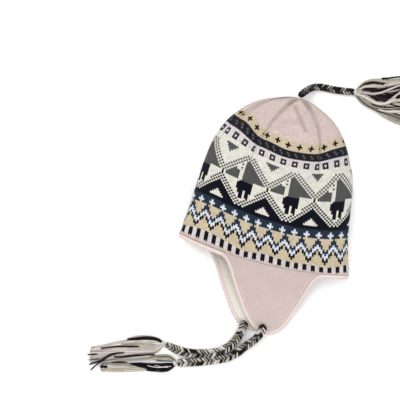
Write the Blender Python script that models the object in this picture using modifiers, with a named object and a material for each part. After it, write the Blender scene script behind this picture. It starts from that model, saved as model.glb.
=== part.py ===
"""A knitted chullo hat with ear flaps, plaited ties and tassels, lying on its side.

Metres, +Z up. The hat lies on the plane z = 0 with its crown tip towards +Y, its front
(forehead) towards -X and its back towards +X. The origin is on the underside, in the
middle of the body.
"""

import math
from typing import NamedTuple

import bmesh
import bpy
import numpy as np
from mathutils import Vector

# Body
HEM_WIDTH = 0.262
BODY_HEIGHT = 0.239
HEM_LEVEL = -0.080
LOFT = 0.058
ROW_SAG = 0.026
DART_DEPTH = 0.0030
TOP_ROUNDNESS = 2.6
FLAT_SHARE = 0.80

# Cloth
KNIT_WALL = 0.0022
FLEECE_WALL = 0.0018
LINING_SETBACK = 0.0015
EDGING_WIDTH = 0.0062
EDGING_THICKNESS = 0.0040
EDGING_ROUND = 0.0009
GAP = 0.0003
LINING_GAP = 0.0010
EDGING_GAP = 0.0006
SEAM_GAP = 0.0011

# Ear flaps
FLAP_WIDTH = 0.150
FLAP_LENGTH = 0.097
FLAP_LEAN = 0.016
NEAR_FLAP_MIDDLE = 0.015
FAR_FLAP_MIDDLE = -0.007
FLAP_FALL = 1.7

# Ties, cord and tassels
TIE_THICKNESS = 0.0090
CORD_THICKNESS = 0.0084
TIE_TASSEL_LENGTH = 0.114
TOP_TASSEL_LENGTH = 0.112
TIE_TASSEL_SPREAD = 0.017
TOP_TASSEL_SPREAD = 0.070
LOCK_RADIUS = 0.0042
LOCK_WAVE = 0.0012
HEAD_RADIUS = 0.0058
HEAD_HEIGHT_SHARE = 0.8
NEAR_TASSEL_HEADING = (-0.949, -0.345)
FAR_TASSEL_HEADING = (-0.924, -0.383)
TOP_TASSEL_HEADING = (0.996, 0.080)

# Fineness of the meshes
COLUMNS_PER_DART = 5
LONGEST_BODY_STEP = 0.062
ROWS_PER_LINING_ROW = 2
FLAP_COLUMNS = 10
FLAP_LINING_COLUMNS = 8
OUTLINE_SAMPLES = 360

# Where each dart runs up to the tip, as a share of the way round from the front fold
DARTS = (0.07, 0.17, 0.28, 0.385, 0.50, 0.62, 0.75, 0.88)
DART_SPREAD = 0.018


class Section(NamedTuple):
    """One ring of the body. up: share of BODY_HEIGHT. half, lean: shares of HEM_WIDTH / 2.

    top, fold, base: heights of the upper layer, the side folds and the under layer, as
    shares of LOFT. sag: dip of the ring at its middle, of ROW_SAG. dart: of DART_DEPTH.
    """

    up: float
    half: float
    lean: float
    top: float
    fold: float
    base: float
    sag: float
    dart: float


SECTIONS = (
    Section(up=0.000, half=1.000, lean=0.010, top=0.66, fold=0.30, base=0.000, sag=0.54, dart=0.00),
    Section(up=0.084, half=0.966, lean=-0.004, top=0.79, fold=0.32, base=0.000, sag=0.55, dart=0.00),
    Section(up=0.209, half=0.925, lean=-0.023, top=0.92, fold=0.34, base=0.000, sag=0.56, dart=0.00),
    Section(up=0.377, half=0.889, lean=-0.038, top=1.00, fold=0.36, base=0.000, sag=0.60, dart=0.00),
    Section(up=0.502, half=0.865, lean=-0.045, top=1.00, fold=0.37, base=0.000, sag=0.70, dart=0.10),
    Section(up=0.607, half=0.828, lean=-0.052, top=0.98, fold=0.37, base=0.000, sag=0.82, dart=0.45),
    Section(up=0.690, half=0.773, lean=-0.060, top=0.95, fold=0.37, base=0.000, sag=0.94, dart=0.85),
    Section(up=0.766, half=0.709, lean=-0.056, top=0.90, fold=0.37, base=0.000, sag=1.00, dart=1.00),
    Section(up=0.828, half=0.632, lean=-0.050, top=0.83, fold=0.37, base=0.010, sag=0.88, dart=1.00),
    Section(up=0.883, half=0.540, lean=-0.048, top=0.75, fold=0.37, base=0.035, sag=0.75, dart=0.95),
    Section(up=0.929, half=0.429, lean=-0.046, top=0.66, fold=0.37, base=0.080, sag=0.60, dart=0.85),
    Section(up=0.962, half=0.310, lean=-0.043, top=0.57, fold=0.37, base=0.150, sag=0.42, dart=0.70),
    Section(up=0.984, half=0.195, lean=-0.037, top=0.50, fold=0.37, base=0.230, sag=0.24, dart=0.45),
    Section(up=0.996, half=0.095, lean=-0.033, top=0.44, fold=0.37, base=0.300, sag=0.10, dart=0.20),
    Section(up=1.000, half=0.040, lean=-0.030, top=0.41, fold=0.37, base=0.335, sag=0.03, dart=0.00),
)


class FlapRow(NamedTuple):
    """One row of an ear flap. down: share of FLAP_LENGTH. half: share of FLAP_WIDTH / 2."""

    down: float
    half: float


FLAP_ROWS = (
    FlapRow(down=0.00, half=1.000),
    FlapRow(down=0.03, half=0.925),
    FlapRow(down=0.09, half=0.845),
    FlapRow(down=0.18, half=0.775),
    FlapRow(down=0.32, half=0.692),
    FlapRow(down=0.47, half=0.605),
    FlapRow(down=0.61, half=0.512),
    FlapRow(down=0.74, half=0.424),
    FlapRow(down=0.85, half=0.335),
    FlapRow(down=0.93, half=0.242),
    FlapRow(down=0.98, half=0.140),
    FlapRow(down=1.00, half=0.045),
)

# Routes of the free ends, as chosen points on the way (x, y, z)
NEAR_TIE_ROUTE = (
    (0.0265, -0.1830, 0.0143),
    (0.0260, -0.1905, 0.0150),
    (0.0245, -0.1977, 0.0149),
    (0.0216, -0.2049, 0.0118),
    (0.0175, -0.2116, 0.0078),
    (0.0130, -0.2176, 0.0052),
    (0.0081, -0.2234, 0.0047),
    (0.0004, -0.2332, 0.0047),
    (-0.0074, -0.2410, 0.0047),
    (-0.0148, -0.2465, 0.0047),
    (-0.0223, -0.2501, 0.0047),
    (-0.0416, -0.2579, 0.0047),
    (-0.0615, -0.2648, 0.0047),
    (-0.0841, -0.2715, 0.0047),
)
FAR_TIE_ROUTE = (
    (-0.0022, -0.1850, 0.0096),
    (-0.0021, -0.1920, 0.0104),
    (-0.0026, -0.1992, 0.0096),
    (-0.0046, -0.2078, 0.0062),
    (-0.0080, -0.2172, 0.0047),
    (-0.0123, -0.2251, 0.0047),
    (-0.0187, -0.2327, 0.0047),
    (-0.0263, -0.2389, 0.0047),
    (-0.0373, -0.2444, 0.0047),
    (-0.0587, -0.2507, 0.0047),
    (-0.0798, -0.2534, 0.0047),
    (-0.0956, -0.2517, 0.0047),
    (-0.1079, -0.2486, 0.0047),
)
TOP_CORD_ROUTE = (
    (-0.0039, 0.1612, 0.0214),
    (-0.0013, 0.1664, 0.0200),
    (0.0030, 0.1718, 0.0160),
    (0.0083, 0.1777, 0.0098),
    (0.0152, 0.1823, 0.0056),
    (0.0250, 0.1850, 0.0045),
    (0.0366, 0.1856, 0.0045),
    (0.0497, 0.1863, 0.0045),
    (0.0618, 0.1878, 0.0045),
    (0.0744, 0.1899, 0.0045),
)

SANDWICH = KNIT_WALL + GAP + FLEECE_WALL
NEAR_FLAP_REST = 2 * SANDWICH + 2 * GAP


class Lock(NamedTuple):
    """One lock of a tassel. place: share of half the spread. lift: rise at its middle, of
    LOCK_RADIUS. length: share of the tassel's length.
    """

    place: float
    lift: float
    length: float


LOCKS = (
    Lock(place=-1.00, lift=0.0, length=0.96),
    Lock(place=-0.60, lift=0.0, length=1.00),
    Lock(place=-0.20, lift=0.0, length=0.98),
    Lock(place=0.20, lift=0.0, length=1.00),
    Lock(place=0.60, lift=0.0, length=0.97),
    Lock(place=1.00, lift=0.0, length=0.93),
    Lock(place=-0.55, lift=1.0, length=0.90),
    Lock(place=0.00, lift=1.2, length=0.94),
    Lock(place=0.55, lift=1.0, length=0.88),
)


class LockStep(NamedTuple):
    """One place along a lock. way: share of its length. thick: share of LOCK_RADIUS."""

    way: float
    thick: float


LOCK_STEPS = (
    LockStep(way=0.00, thick=0.80),
    LockStep(way=0.06, thick=0.90),
    LockStep(way=0.16, thick=1.00),
    LockStep(way=0.34, thick=1.00),
    LockStep(way=0.60, thick=1.00),
    LockStep(way=0.82, thick=0.95),
    LockStep(way=1.00, thick=0.80),
)
SPREAD_WAY = 0.12


def clear_scene():
    """Removes what the file starts with."""
    for thing in list(bpy.data.objects):
        bpy.data.objects.remove(thing)


def make_material(name, colour, roughness):
    """A plain Principled material."""
    material = bpy.data.materials.new(name)
    material.use_nodes = True
    shader = material.node_tree.nodes["Principled BSDF"]
    shader.inputs["Base Color"].default_value = (*colour, 1.0)
    shader.inputs["Roughness"].default_value = roughness
    shader.inputs["Metallic"].default_value = 0.0
    material.diffuse_color = (*colour, 1.0)
    return material


def add_object(name, data, collection, material):
    """Puts mesh or curve data in the collection as a named object."""
    thing = bpy.data.objects.new(name, data)
    data.materials.append(material)
    collection.objects.link(thing)
    return thing


def read_smooth(known, values, at):
    """A smooth curve through (known, values), read at one place or at many."""
    known = np.asarray(known, float)
    values = np.asarray(values, float)
    slopes = np.gradient(values, known)
    at = np.clip(at, known[0], known[-1])
    index = np.clip(np.searchsorted(known, at, side="right") - 1, 0, len(known) - 2)
    span = known[index + 1] - known[index]
    t = (at - known[index]) / span
    return (
        (2 * t**3 - 3 * t**2 + 1) * values[index]
        + (t**3 - 2 * t**2 + t) * span * slopes[index]
        + (3 * t**2 - 2 * t**3) * values[index + 1]
        + (t**3 - t**2) * span * slopes[index + 1]
    )


def section_at(up):
    """The ring of the body at this share of its height, as a Section."""
    known = [section.up for section in SECTIONS]
    columns = (
        read_smooth(known, [getattr(section, name) for section in SECTIONS], up)
        for name in Section._fields[1:]
    )
    ring = Section(up, *columns)
    return ring._replace(base=max(0.0, ring.base), dart=max(0.0, ring.dart))


def section_outline(up):
    """A fine outline of the ring: its points, and how far round each one is, from 0 to 1."""
    ring = section_at(up)
    angle = np.linspace(0.0, 2 * math.pi, OUTLINE_SAMPLES + 1)
    side = -np.cos(angle)
    upper = angle <= math.pi
    crown = np.sqrt(np.clip(1 - np.abs(side) ** TOP_ROUNDNESS, 0, 1))
    corner = np.clip((np.abs(side) - FLAT_SHARE) / (1 - FLAT_SHARE), 0, 1)
    under = 1 - np.sqrt(1 - corner**2)
    height = np.where(
        upper,
        ring.fold + (ring.top - ring.fold) * crown,
        ring.base + (ring.fold - ring.base) * under,
    )
    x = (ring.lean + ring.half * side) * HEM_WIDTH / 2
    y = HEM_LEVEL + up * BODY_HEIGHT - ring.sag * ROW_SAG * (1 - side**2)
    z = height * LOFT
    points = np.stack([x, y, z], axis=1)
    steps = np.hypot(np.diff(x), np.diff(z))
    way = np.concatenate([[0.0], np.cumsum(steps)])
    return points, way / way[-1]


def body_ring(up, turns):
    """Points of the ring at these shares of the way round."""
    points, way = section_outline(up)
    return np.stack([np.interp(turns, way, points[:, axis]) for axis in range(3)], axis=1)


def hem_turn(x, near):
    """How far round the hem lies at this x, on the near (upper) or the far (under) layer."""
    points, way = section_outline(0.0)
    middle = len(way) // 2
    if near:
        return float(np.interp(x, points[: middle + 1, 0], way[: middle + 1]))
    return float(np.interp(-x, -points[middle:, 0], way[middle:]))


def split_long_steps(places, longest):
    """The same places, with more between any two that lie further apart than longest."""
    result = [places[0]]
    for last, place in zip(places, places[1:]):
        parts = max(1, math.ceil((place - last) / longest - 1e-6))
        result += [last + (place - last) * (part + 1) / parts for part in range(parts)]
    return result


def body_turns():
    """Columns of the body: one on each dart and some evenly between each two."""
    turns = []
    for dart, following in zip(DARTS, DARTS[1:] + (DARTS[0] + 1,)):
        step = (following - dart) / COLUMNS_PER_DART
        turns += [(dart + step * k) % 1.0 for k in range(COLUMNS_PER_DART)]
    return sorted(turns)


def dart_depth(turn, up):
    """How deep the darts pull the cloth in at this place."""
    nearest = min(abs((turn - dart + 0.5) % 1.0 - 0.5) for dart in DARTS)
    share = max(0.0, 1 - nearest / DART_SPREAD)
    return DART_DEPTH * section_at(up).dart * share


def grid_mesh(name, rows, closed, flip):
    """A mesh of quads through rows of points; closed joins each row's last point to its first."""
    form = bmesh.new()
    grid = [[form.verts.new(point) for point in row] for row in rows]
    width = len(rows[0])
    for low, high in zip(grid, grid[1:]):
        for k in range(width if closed else width - 1):
            corners = [low[k], low[(k + 1) % width], high[(k + 1) % width], high[k]]
            form.faces.new(corners[::-1] if flip else corners)
    if closed:
        form.faces.new(grid[-1])
    form.normal_update()
    mesh = bpy.data.meshes.new(name)
    form.to_mesh(mesh)
    form.free()
    return mesh


def sink(mesh, depths):
    """Moves each vertex in along its normal, so that its faces go in by its own depth."""
    form = bmesh.new()
    form.from_mesh(mesh)
    form.normal_update()
    ways = [vertex.normal * vertex.calc_shell_factor() for vertex in form.verts]
    for vertex, way, depth in zip(form.verts, ways, depths):
        vertex.co -= way * depth
    form.normal_update()
    form.to_mesh(mesh)
    form.free()


def add_wall(thing, wall, offset=-1.0):
    """Gives an open surface its thickness, inwards unless offset says otherwise."""
    solidify = thing.modifiers.new("Wall", "SOLIDIFY")
    solidify.thickness = wall
    solidify.offset = offset
    solidify.use_even_offset = True
    return solidify


def body_ups():
    """Rows of the body: the sections, and more between any two that lie far apart."""
    return split_long_steps([section.up for section in SECTIONS], LONGEST_BODY_STEP)


def build_body(collection, material):
    """The knitted shell, from the hem to the crown tip."""
    turns = body_turns()
    ups = body_ups()
    mesh = grid_mesh("knit_body", [body_ring(up, turns) for up in ups], True, False)
    sink(mesh, [dart_depth(turn, up) for up in ups for turn in turns])
    mesh.shade_smooth()
    add_wall(add_object("knit_body", mesh, collection, material), KNIT_WALL)


def build_body_lining(collection, material):
    """The fleece inside the shell. It stays inside the darts, which are sewn in the knit."""
    turns = body_turns()
    ups = body_ups()[:-1:ROWS_PER_LINING_ROW]
    ups[0] = LINING_SETBACK / BODY_HEIGHT
    mesh = grid_mesh("body_lining", [body_ring(up, turns) for up in ups], True, False)
    rests = [KNIT_WALL + LINING_GAP + DART_DEPTH * section_at(up).dart for up in ups]
    depths = [rest for rest in rests for _ in turns]
    sink(mesh, depths)
    mesh.shade_smooth()
    add_wall(add_object("body_lining", mesh, collection, material), FLEECE_WALL)


def flap_half(down):
    """Half width of a flap at this share of its length."""
    share = read_smooth([row.down for row in FLAP_ROWS], [row.half for row in FLAP_ROWS], down)
    return share * FLAP_WIDTH / 2


def flap_point(near, across, down):
    """A point on a flap's outer face. across runs from -1 at the front edge to 1 at the back one."""
    middle = NEAR_FLAP_MIDDLE if near else FAR_FLAP_MIDDLE
    top_x = middle + across * FLAP_WIDTH / 2
    hem = body_ring(0.0, [hem_turn(top_x, near)])[0]
    hem_middle = body_ring(0.0, [hem_turn(middle, near)])[0]
    x = middle + FLAP_LEAN * down + across * flap_half(down)
    tip_y = hem_middle[1] - FLAP_LENGTH
    y = (hem[1] - SEAM_GAP) * (1 - down) + tip_y * down
    if not near:
        return np.array([x, y, 0.0])
    over_far = NEAR_FLAP_REST + SANDWICH * (1 - max(0.0, across)) * 0.04
    fall = (1 - down) ** FLAP_FALL
    return np.array([x, y, over_far + (hem[2] - over_far) * fall])


def flap_rows(near, columns):
    """The rows of points of a flap's outer face."""
    return [
        [flap_point(near, 2 * k / columns - 1, row.down) for k in range(columns + 1)]
        for row in FLAP_ROWS
    ]


def build_flap(near, collection, knit, fleece):
    """One ear flap and the lining behind it."""
    side = "near" if near else "far"
    mesh = grid_mesh(f"{side}_flap", flap_rows(near, FLAP_COLUMNS), False, near)
    mesh.shade_smooth()
    add_wall(add_object(f"{side}_flap", mesh, collection, knit), KNIT_WALL)
    rows = flap_rows(near, FLAP_LINING_COLUMNS)
    lining = grid_mesh(f"{side}_flap_lining", rows, False, near)
    sink(lining, [KNIT_WALL + GAP] * len(lining.vertices))
    lining.shade_smooth()
    add_wall(add_object(f"{side}_flap_lining", lining, collection, fleece), FLEECE_WALL)


def hem_stations(start, end):
    """Points of the hem on the body's columns, between two turns."""
    turns = sorted({turn + lap for turn in body_turns() for lap in (0.0, 1.0)})
    inside = [turn for turn in turns if start < turn < end]
    return [tuple(body_ring(0.0, [turn % 1.0])[0]) for turn in inside]


def flap_stations(near):
    """Points along a flap's free edge, in the order of the way round the hat."""
    first = [tuple(flap_point(near, -1.0, row.down)) for row in FLAP_ROWS]
    last = [tuple(flap_point(near, 1.0, row.down)) for row in FLAP_ROWS]
    return first + last[::-1] if near else last + first[::-1]


def outer_normal(point, near_flap):
    """Which way the outer face of the cloth points at a station of the edge."""
    x, y, z = point
    if near_flap is not None:
        return Vector((0, 0, 1)) if near_flap else Vector((0, 0, -1))
    points, _ = section_outline(0.0)
    nearest = int(np.argmin(np.hypot(points[:, 0] - x, points[:, 2] - z)))
    ahead = points[(nearest + 1) % OUTLINE_SAMPLES] - points[nearest - 1]
    return Vector((-ahead[2], 0, ahead[0])).normalized()


def build_edging(collection, material):
    """The crocheted band along the hem and round both flaps, one closed loop."""
    reach = FLAP_WIDTH / 2
    near_front = hem_turn(NEAR_FLAP_MIDDLE - reach, True)
    near_back = hem_turn(NEAR_FLAP_MIDDLE + reach, True)
    far_front = hem_turn(FAR_FLAP_MIDDLE - reach, False)
    far_back = hem_turn(FAR_FLAP_MIDDLE + reach, False)
    stations = [(point, None) for point in hem_stations(far_front, near_front + 1)]
    stations += [(point, True) for point in flap_stations(True)]
    stations += [(point, None) for point in hem_stations(near_back, far_back)]
    stations += [(point, False) for point in flap_stations(False)]
    inner = []
    outer = []
    for k, (point, near_flap) in enumerate(stations):
        before = Vector(stations[k - 1][0])
        after = Vector(stations[(k + 1) % len(stations)][0])
        normal = outer_normal(point, near_flap)
        along = (after - before).normalized()
        outward = along.cross(normal).normalized()
        normal = outward.cross(along).normalized()
        start = Vector(point) - normal * SANDWICH / 2 + outward * EDGING_GAP
        inner.append(start)
        outer.append(start + outward * EDGING_WIDTH)
    rows = [[a, b] for a, b in zip(inner, outer)]
    mesh = grid_mesh("crochet_edging", rows + rows[:1], False, False)
    form = bmesh.new()
    form.from_mesh(mesh)
    bmesh.ops.remove_doubles(form, verts=form.verts, dist=GAP / 10)
    form.to_mesh(mesh)
    form.free()
    mesh.shade_smooth()
    edging = add_object("crochet_edging", mesh, collection, material)
    add_wall(edging, EDGING_THICKNESS, offset=0.0)
    bevel = edging.modifiers.new("Round", "BEVEL")
    bevel.width = EDGING_ROUND
    bevel.segments = 1
    bevel.limit_method = "ANGLE"
    bevel.angle_limit = math.radians(60)


def smooth_route(route, spacing):
    """Points of a smooth curve through the route, about spacing apart."""
    route = np.array(route)
    way = np.concatenate([[0.0], np.cumsum(np.linalg.norm(np.diff(route, axis=0), axis=1))])
    count = max(4, round(way[-1] / spacing))
    places = np.linspace(0.0, way[-1], count + 1)
    return np.stack([read_smooth(way, route[:, axis], places) for axis in range(3)], axis=1)


def tube_curve(name, points, radii, resolution):
    """A round tube along points, as curve data with closed ends."""
    curve = bpy.data.curves.new(name, "CURVE")
    curve.dimensions = "3D"
    curve.bevel_depth = 1.0
    curve.bevel_resolution = resolution
    curve.use_fill_caps = True
    spline = curve.splines.new("POLY")
    spline.points.add(len(points) - 1)
    for place, point, radius in zip(spline.points, points, radii):
        place.co = (*point, 1.0)
        place.radius = radius
    return curve


def build_cord(name, route, thickness, collection, material):
    """A tie or cord as a plain round tube."""
    points = smooth_route(route, 1.5 * thickness)
    curve = tube_curve(name, points, [thickness / 2] * len(points), 2)
    add_object(name, curve, collection, material)


def mesh_from_curve(curve):
    """The mesh of a tube, with its caps joined to its sides."""
    holder = bpy.data.objects.new(curve.name, curve)
    bpy.context.scene.collection.objects.link(holder)
    graph = bpy.context.evaluated_depsgraph_get()
    mesh = bpy.data.meshes.new_from_object(holder.evaluated_get(graph))
    bpy.data.objects.remove(holder)
    form = bmesh.new()
    form.from_mesh(mesh)
    bmesh.ops.remove_doubles(form, verts=form.verts, dist=1e-5)
    bmesh.ops.recalc_face_normals(form, faces=form.faces)
    form.to_mesh(mesh)
    form.free()
    return mesh


def lock_points(neck, heading, length, spread, lock, fan):
    """The way of one lock of a tassel, from inside its head to its cut end."""
    side = Vector((-heading.y, heading.x, 0))
    points = []
    for way, _ in LOCK_STEPS:
        bulge = math.sqrt(way) if fan else 1 - math.exp(-way / SPREAD_WAY)
        point = neck + heading * (length * way) + side * (lock.place * spread / 2 * bulge)
        point.y += LOCK_WAVE * math.sin(7 * way + 5 * lock.place)
        rise = lock.lift * math.sin(math.pi * min(1.0, 1.15 * way))
        rest = LOCK_RADIUS * (1.05 + rise)
        point.z += (rest - neck.z) * min(1.0, way / SPREAD_WAY)
        points.append(tuple(point))
    return points


def tassel_head(name, neck):
    """The bound head of a tassel, as a mesh around its neck point."""
    form = bmesh.new()
    bmesh.ops.create_uvsphere(form, u_segments=10, v_segments=6, radius=HEAD_RADIUS)
    for vertex in form.verts:
        x, y, z = vertex.co
        vertex.co = neck + Vector((x, y, z * HEAD_HEIGHT_SHARE))
    mesh = bpy.data.meshes.new(name)
    form.to_mesh(mesh)
    form.free()
    return mesh


def build_tassel(name, route, heading, length, spread, fan, collection, material):
    """A bound head at the end of a route, with locks fused to it: a layer on the floor and
    a shorter one on top of it.
    """
    heading = Vector((*heading, 0)).normalized()
    arriving = (Vector(route[-1]) - Vector(route[-2])).normalized()
    neck = Vector(route[-1]) + arriving * (HEAD_RADIUS + GAP)
    neck.z = HEAD_RADIUS * HEAD_HEIGHT_SHARE
    tassel = add_object(name, tassel_head(name, neck), collection, material)
    radii = [LOCK_RADIUS * step.thick for step in LOCK_STEPS]
    for number, lock in enumerate(LOCKS):
        points = lock_points(neck, heading, length * lock.length, spread, lock, fan)
        mesh = mesh_from_curve(tube_curve(name, points, radii, 1))
        cutter = bpy.data.objects.new(f"{name}_lock_{number}", mesh)
        bpy.data.collections["Cutters"].objects.link(cutter)
        cutter.hide_render = True
        cutter.display_type = "WIRE"
        union = tassel.modifiers.new(f"Lock {number}", "BOOLEAN")
        union.operation = "UNION"
        union.solver = "EXACT"
        union.object = cutter


def main():
    """Builds every piece."""
    clear_scene()
    collection = bpy.data.collections.new("Chullo hat")
    bpy.context.scene.collection.children.link(collection)
    bpy.context.scene.collection.children.link(bpy.data.collections.new("Cutters"))
    knit = make_material("knit wool", (0.78, 0.66, 0.65), 0.95)
    fleece = make_material("cream fleece", (0.80, 0.77, 0.70), 0.98)
    crochet = make_material("crochet edging", (0.84, 0.75, 0.73), 0.95)
    plait = make_material("plaited yarn", (0.35, 0.34, 0.34), 0.95)
    tassel = make_material("tassel yarn", (0.62, 0.58, 0.54), 0.95)
    build_body(collection, knit)
    build_body_lining(collection, fleece)
    build_flap(True, collection, knit, fleece)
    build_flap(False, collection, knit, fleece)
    build_edging(collection, crochet)
    tie_tassel = (TIE_TASSEL_LENGTH, TIE_TASSEL_SPREAD, False, collection, tassel)
    top_tassel = (TOP_TASSEL_LENGTH, TOP_TASSEL_SPREAD, True, collection, tassel)
    build_cord("near_tie", NEAR_TIE_ROUTE, TIE_THICKNESS, collection, plait)
    build_tassel("near_tassel", NEAR_TIE_ROUTE, NEAR_TASSEL_HEADING, *tie_tassel)
    build_cord("far_tie", FAR_TIE_ROUTE, TIE_THICKNESS, collection, plait)
    build_tassel("far_tassel", FAR_TIE_ROUTE, FAR_TASSEL_HEADING, *tie_tassel)
    build_cord("top_cord", TOP_CORD_ROUTE, CORD_THICKNESS, collection, plait)
    build_tassel("top_tassel", TOP_CORD_ROUTE, TOP_TASSEL_HEADING, *top_tassel)


main()
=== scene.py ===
"""A knitted chullo hat with ear flaps, plaited ties and tassels, dressed for its picture.

Metres, +Z up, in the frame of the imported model: the crown tip points to +Y, the forehead
side to -X, and the hat lies on z = 0. Cloth is knitted stitch by stitch from a written
chart, the ties and the cord are plaited from yarns, and each tassel is a bundle of strands.
"""

import logging
import math
from dataclasses import dataclass
from enum import Enum
from typing import Callable, NamedTuple, Sequence

import bpy
import numpy as np
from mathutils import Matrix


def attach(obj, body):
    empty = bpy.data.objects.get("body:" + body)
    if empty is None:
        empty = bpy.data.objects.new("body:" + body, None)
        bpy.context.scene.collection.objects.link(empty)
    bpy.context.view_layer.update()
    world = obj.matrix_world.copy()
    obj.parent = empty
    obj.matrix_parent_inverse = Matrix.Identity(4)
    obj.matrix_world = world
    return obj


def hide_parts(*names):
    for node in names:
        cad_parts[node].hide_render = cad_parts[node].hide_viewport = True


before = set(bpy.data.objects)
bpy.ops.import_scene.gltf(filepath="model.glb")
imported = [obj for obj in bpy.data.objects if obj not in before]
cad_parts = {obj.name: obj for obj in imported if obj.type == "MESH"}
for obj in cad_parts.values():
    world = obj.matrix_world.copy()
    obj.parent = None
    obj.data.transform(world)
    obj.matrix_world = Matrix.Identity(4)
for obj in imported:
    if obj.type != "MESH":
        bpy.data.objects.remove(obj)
LOG = logging.getLogger("chullo")
SEED = 11
ROOT = "root"
FLEECE_UNEVEN = 0.00008
FLEECE_TILE = 0.01
FLAP_CROWDING = 0.8


class Section(NamedTuple):
    """One ring of the body, in shares of its named sizes."""

    up: float
    half: float
    lean: float
    top: float
    fold: float
    base: float
    sag: float
    dart: float


SECTIONS = (
    Section(up=0.000, half=1.000, lean=0.010, top=0.66, fold=0.30, base=0.000, sag=0.54, dart=0.00),
    Section(up=0.084, half=0.966, lean=-0.004, top=0.79, fold=0.32, base=0.000, sag=0.55, dart=0.00),
    Section(up=0.209, half=0.925, lean=-0.023, top=0.92, fold=0.34, base=0.000, sag=0.56, dart=0.00),
    Section(up=0.377, half=0.889, lean=-0.038, top=1.00, fold=0.36, base=0.000, sag=0.60, dart=0.00),
    Section(up=0.502, half=0.865, lean=-0.045, top=1.00, fold=0.37, base=0.000, sag=0.70, dart=0.10),
    Section(up=0.607, half=0.828, lean=-0.052, top=0.98, fold=0.37, base=0.000, sag=0.82, dart=0.45),
    Section(up=0.690, half=0.773, lean=-0.060, top=0.95, fold=0.37, base=0.000, sag=0.94, dart=0.85),
    Section(up=0.766, half=0.709, lean=-0.056, top=0.90, fold=0.37, base=0.000, sag=1.00, dart=1.00),
    Section(up=0.828, half=0.632, lean=-0.050, top=0.83, fold=0.37, base=0.010, sag=0.88, dart=1.00),
    Section(up=0.883, half=0.540, lean=-0.048, top=0.75, fold=0.37, base=0.035, sag=0.75, dart=0.95),
    Section(up=0.929, half=0.429, lean=-0.046, top=0.66, fold=0.37, base=0.080, sag=0.60, dart=0.85),
    Section(up=0.962, half=0.310, lean=-0.043, top=0.57, fold=0.37, base=0.150, sag=0.42, dart=0.70),
    Section(up=0.984, half=0.195, lean=-0.037, top=0.50, fold=0.37, base=0.230, sag=0.24, dart=0.45),
    Section(up=0.996, half=0.095, lean=-0.033, top=0.44, fold=0.37, base=0.300, sag=0.10, dart=0.20),
    Section(up=1.000, half=0.040, lean=-0.030, top=0.41, fold=0.37, base=0.335, sag=0.03, dart=0.00),
)


class FlapRow(NamedTuple):
    """One row of an ear flap: its share of the length, and of half the width."""

    down: float
    half: float


FLAP_ROWS = (
    FlapRow(down=0.00, half=1.000),
    FlapRow(down=0.03, half=0.925),
    FlapRow(down=0.09, half=0.845),
    FlapRow(down=0.18, half=0.775),
    FlapRow(down=0.32, half=0.692),
    FlapRow(down=0.47, half=0.605),
    FlapRow(down=0.61, half=0.512),
    FlapRow(down=0.74, half=0.424),
    FlapRow(down=0.85, half=0.335),
    FlapRow(down=0.93, half=0.242),
    FlapRow(down=0.98, half=0.140),
    FlapRow(down=1.00, half=0.045),
)

NEAR_TIE_ROUTE = (
    (0.0265, -0.1830, 0.0143),
    (0.0260, -0.1905, 0.0150),
    (0.0245, -0.1977, 0.0149),
    (0.0216, -0.2049, 0.0118),
    (0.0175, -0.2116, 0.0078),
    (0.0130, -0.2176, 0.0052),
    (0.0081, -0.2234, 0.0047),
    (0.0004, -0.2332, 0.0047),
    (-0.0074, -0.2410, 0.0047),
    (-0.0148, -0.2465, 0.0047),
    (-0.0223, -0.2501, 0.0047),
    (-0.0416, -0.2579, 0.0047),
    (-0.0615, -0.2648, 0.0047),
    (-0.0841, -0.2715, 0.0047),
)
FAR_TIE_ROUTE = (
    (-0.0022, -0.1850, 0.0096),
    (-0.0021, -0.1920, 0.0104),
    (-0.0026, -0.1992, 0.0096),
    (-0.0046, -0.2078, 0.0062),
    (-0.0080, -0.2172, 0.0047),
    (-0.0123, -0.2251, 0.0047),
    (-0.0187, -0.2327, 0.0047),
    (-0.0263, -0.2389, 0.0047),
    (-0.0373, -0.2444, 0.0047),
    (-0.0587, -0.2507, 0.0047),
    (-0.0798, -0.2534, 0.0047),
    (-0.0956, -0.2517, 0.0047),
    (-0.1079, -0.2486, 0.0047),
)
TOP_CORD_ROUTE = (
    (-0.0039, 0.1612, 0.0214),
    (-0.0013, 0.1664, 0.0200),
    (0.0030, 0.1718, 0.0160),
    (0.0083, 0.1777, 0.0098),
    (0.0152, 0.1823, 0.0056),
    (0.0250, 0.1850, 0.0045),
    (0.0366, 0.1856, 0.0045),
    (0.0497, 0.1863, 0.0045),
    (0.0618, 0.1878, 0.0045),
    (0.0744, 0.1899, 0.0045),
)


class Yarn(Enum):
    """The yarn colours of the hat, as seen in daylight (sRGB, 0 to 255)."""

    PINK = (213, 194, 189)
    LILAC = (212, 204, 205)
    BEIGE = (203, 188, 161)
    CREAM = (222, 219, 209)
    SNOW = (214, 220, 228)
    GREY = (82, 82, 82)
    CHARCOAL = (38, 38, 44)
    NAVY = (5, 8, 22)
    SLATE = (35, 47, 64)
    BLACK = (16, 14, 18)
    BROWN = (44, 33, 29)
    ASH = (150, 146, 141)
    OAT = (206, 195, 183)
    OLIVE = (176, 170, 150)
    ROSE = (208, 196, 196)
    EDGE = (220, 203, 198)
    FLEECE = (209, 204, 193)

    def linear(self) -> np.ndarray:
        """The colour as linear light."""
        share = np.array(self.value, float) / 255
        return np.where(share <= 0.04045, share / 12.92, ((share + 0.055) / 1.055) ** 2.4)


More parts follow.
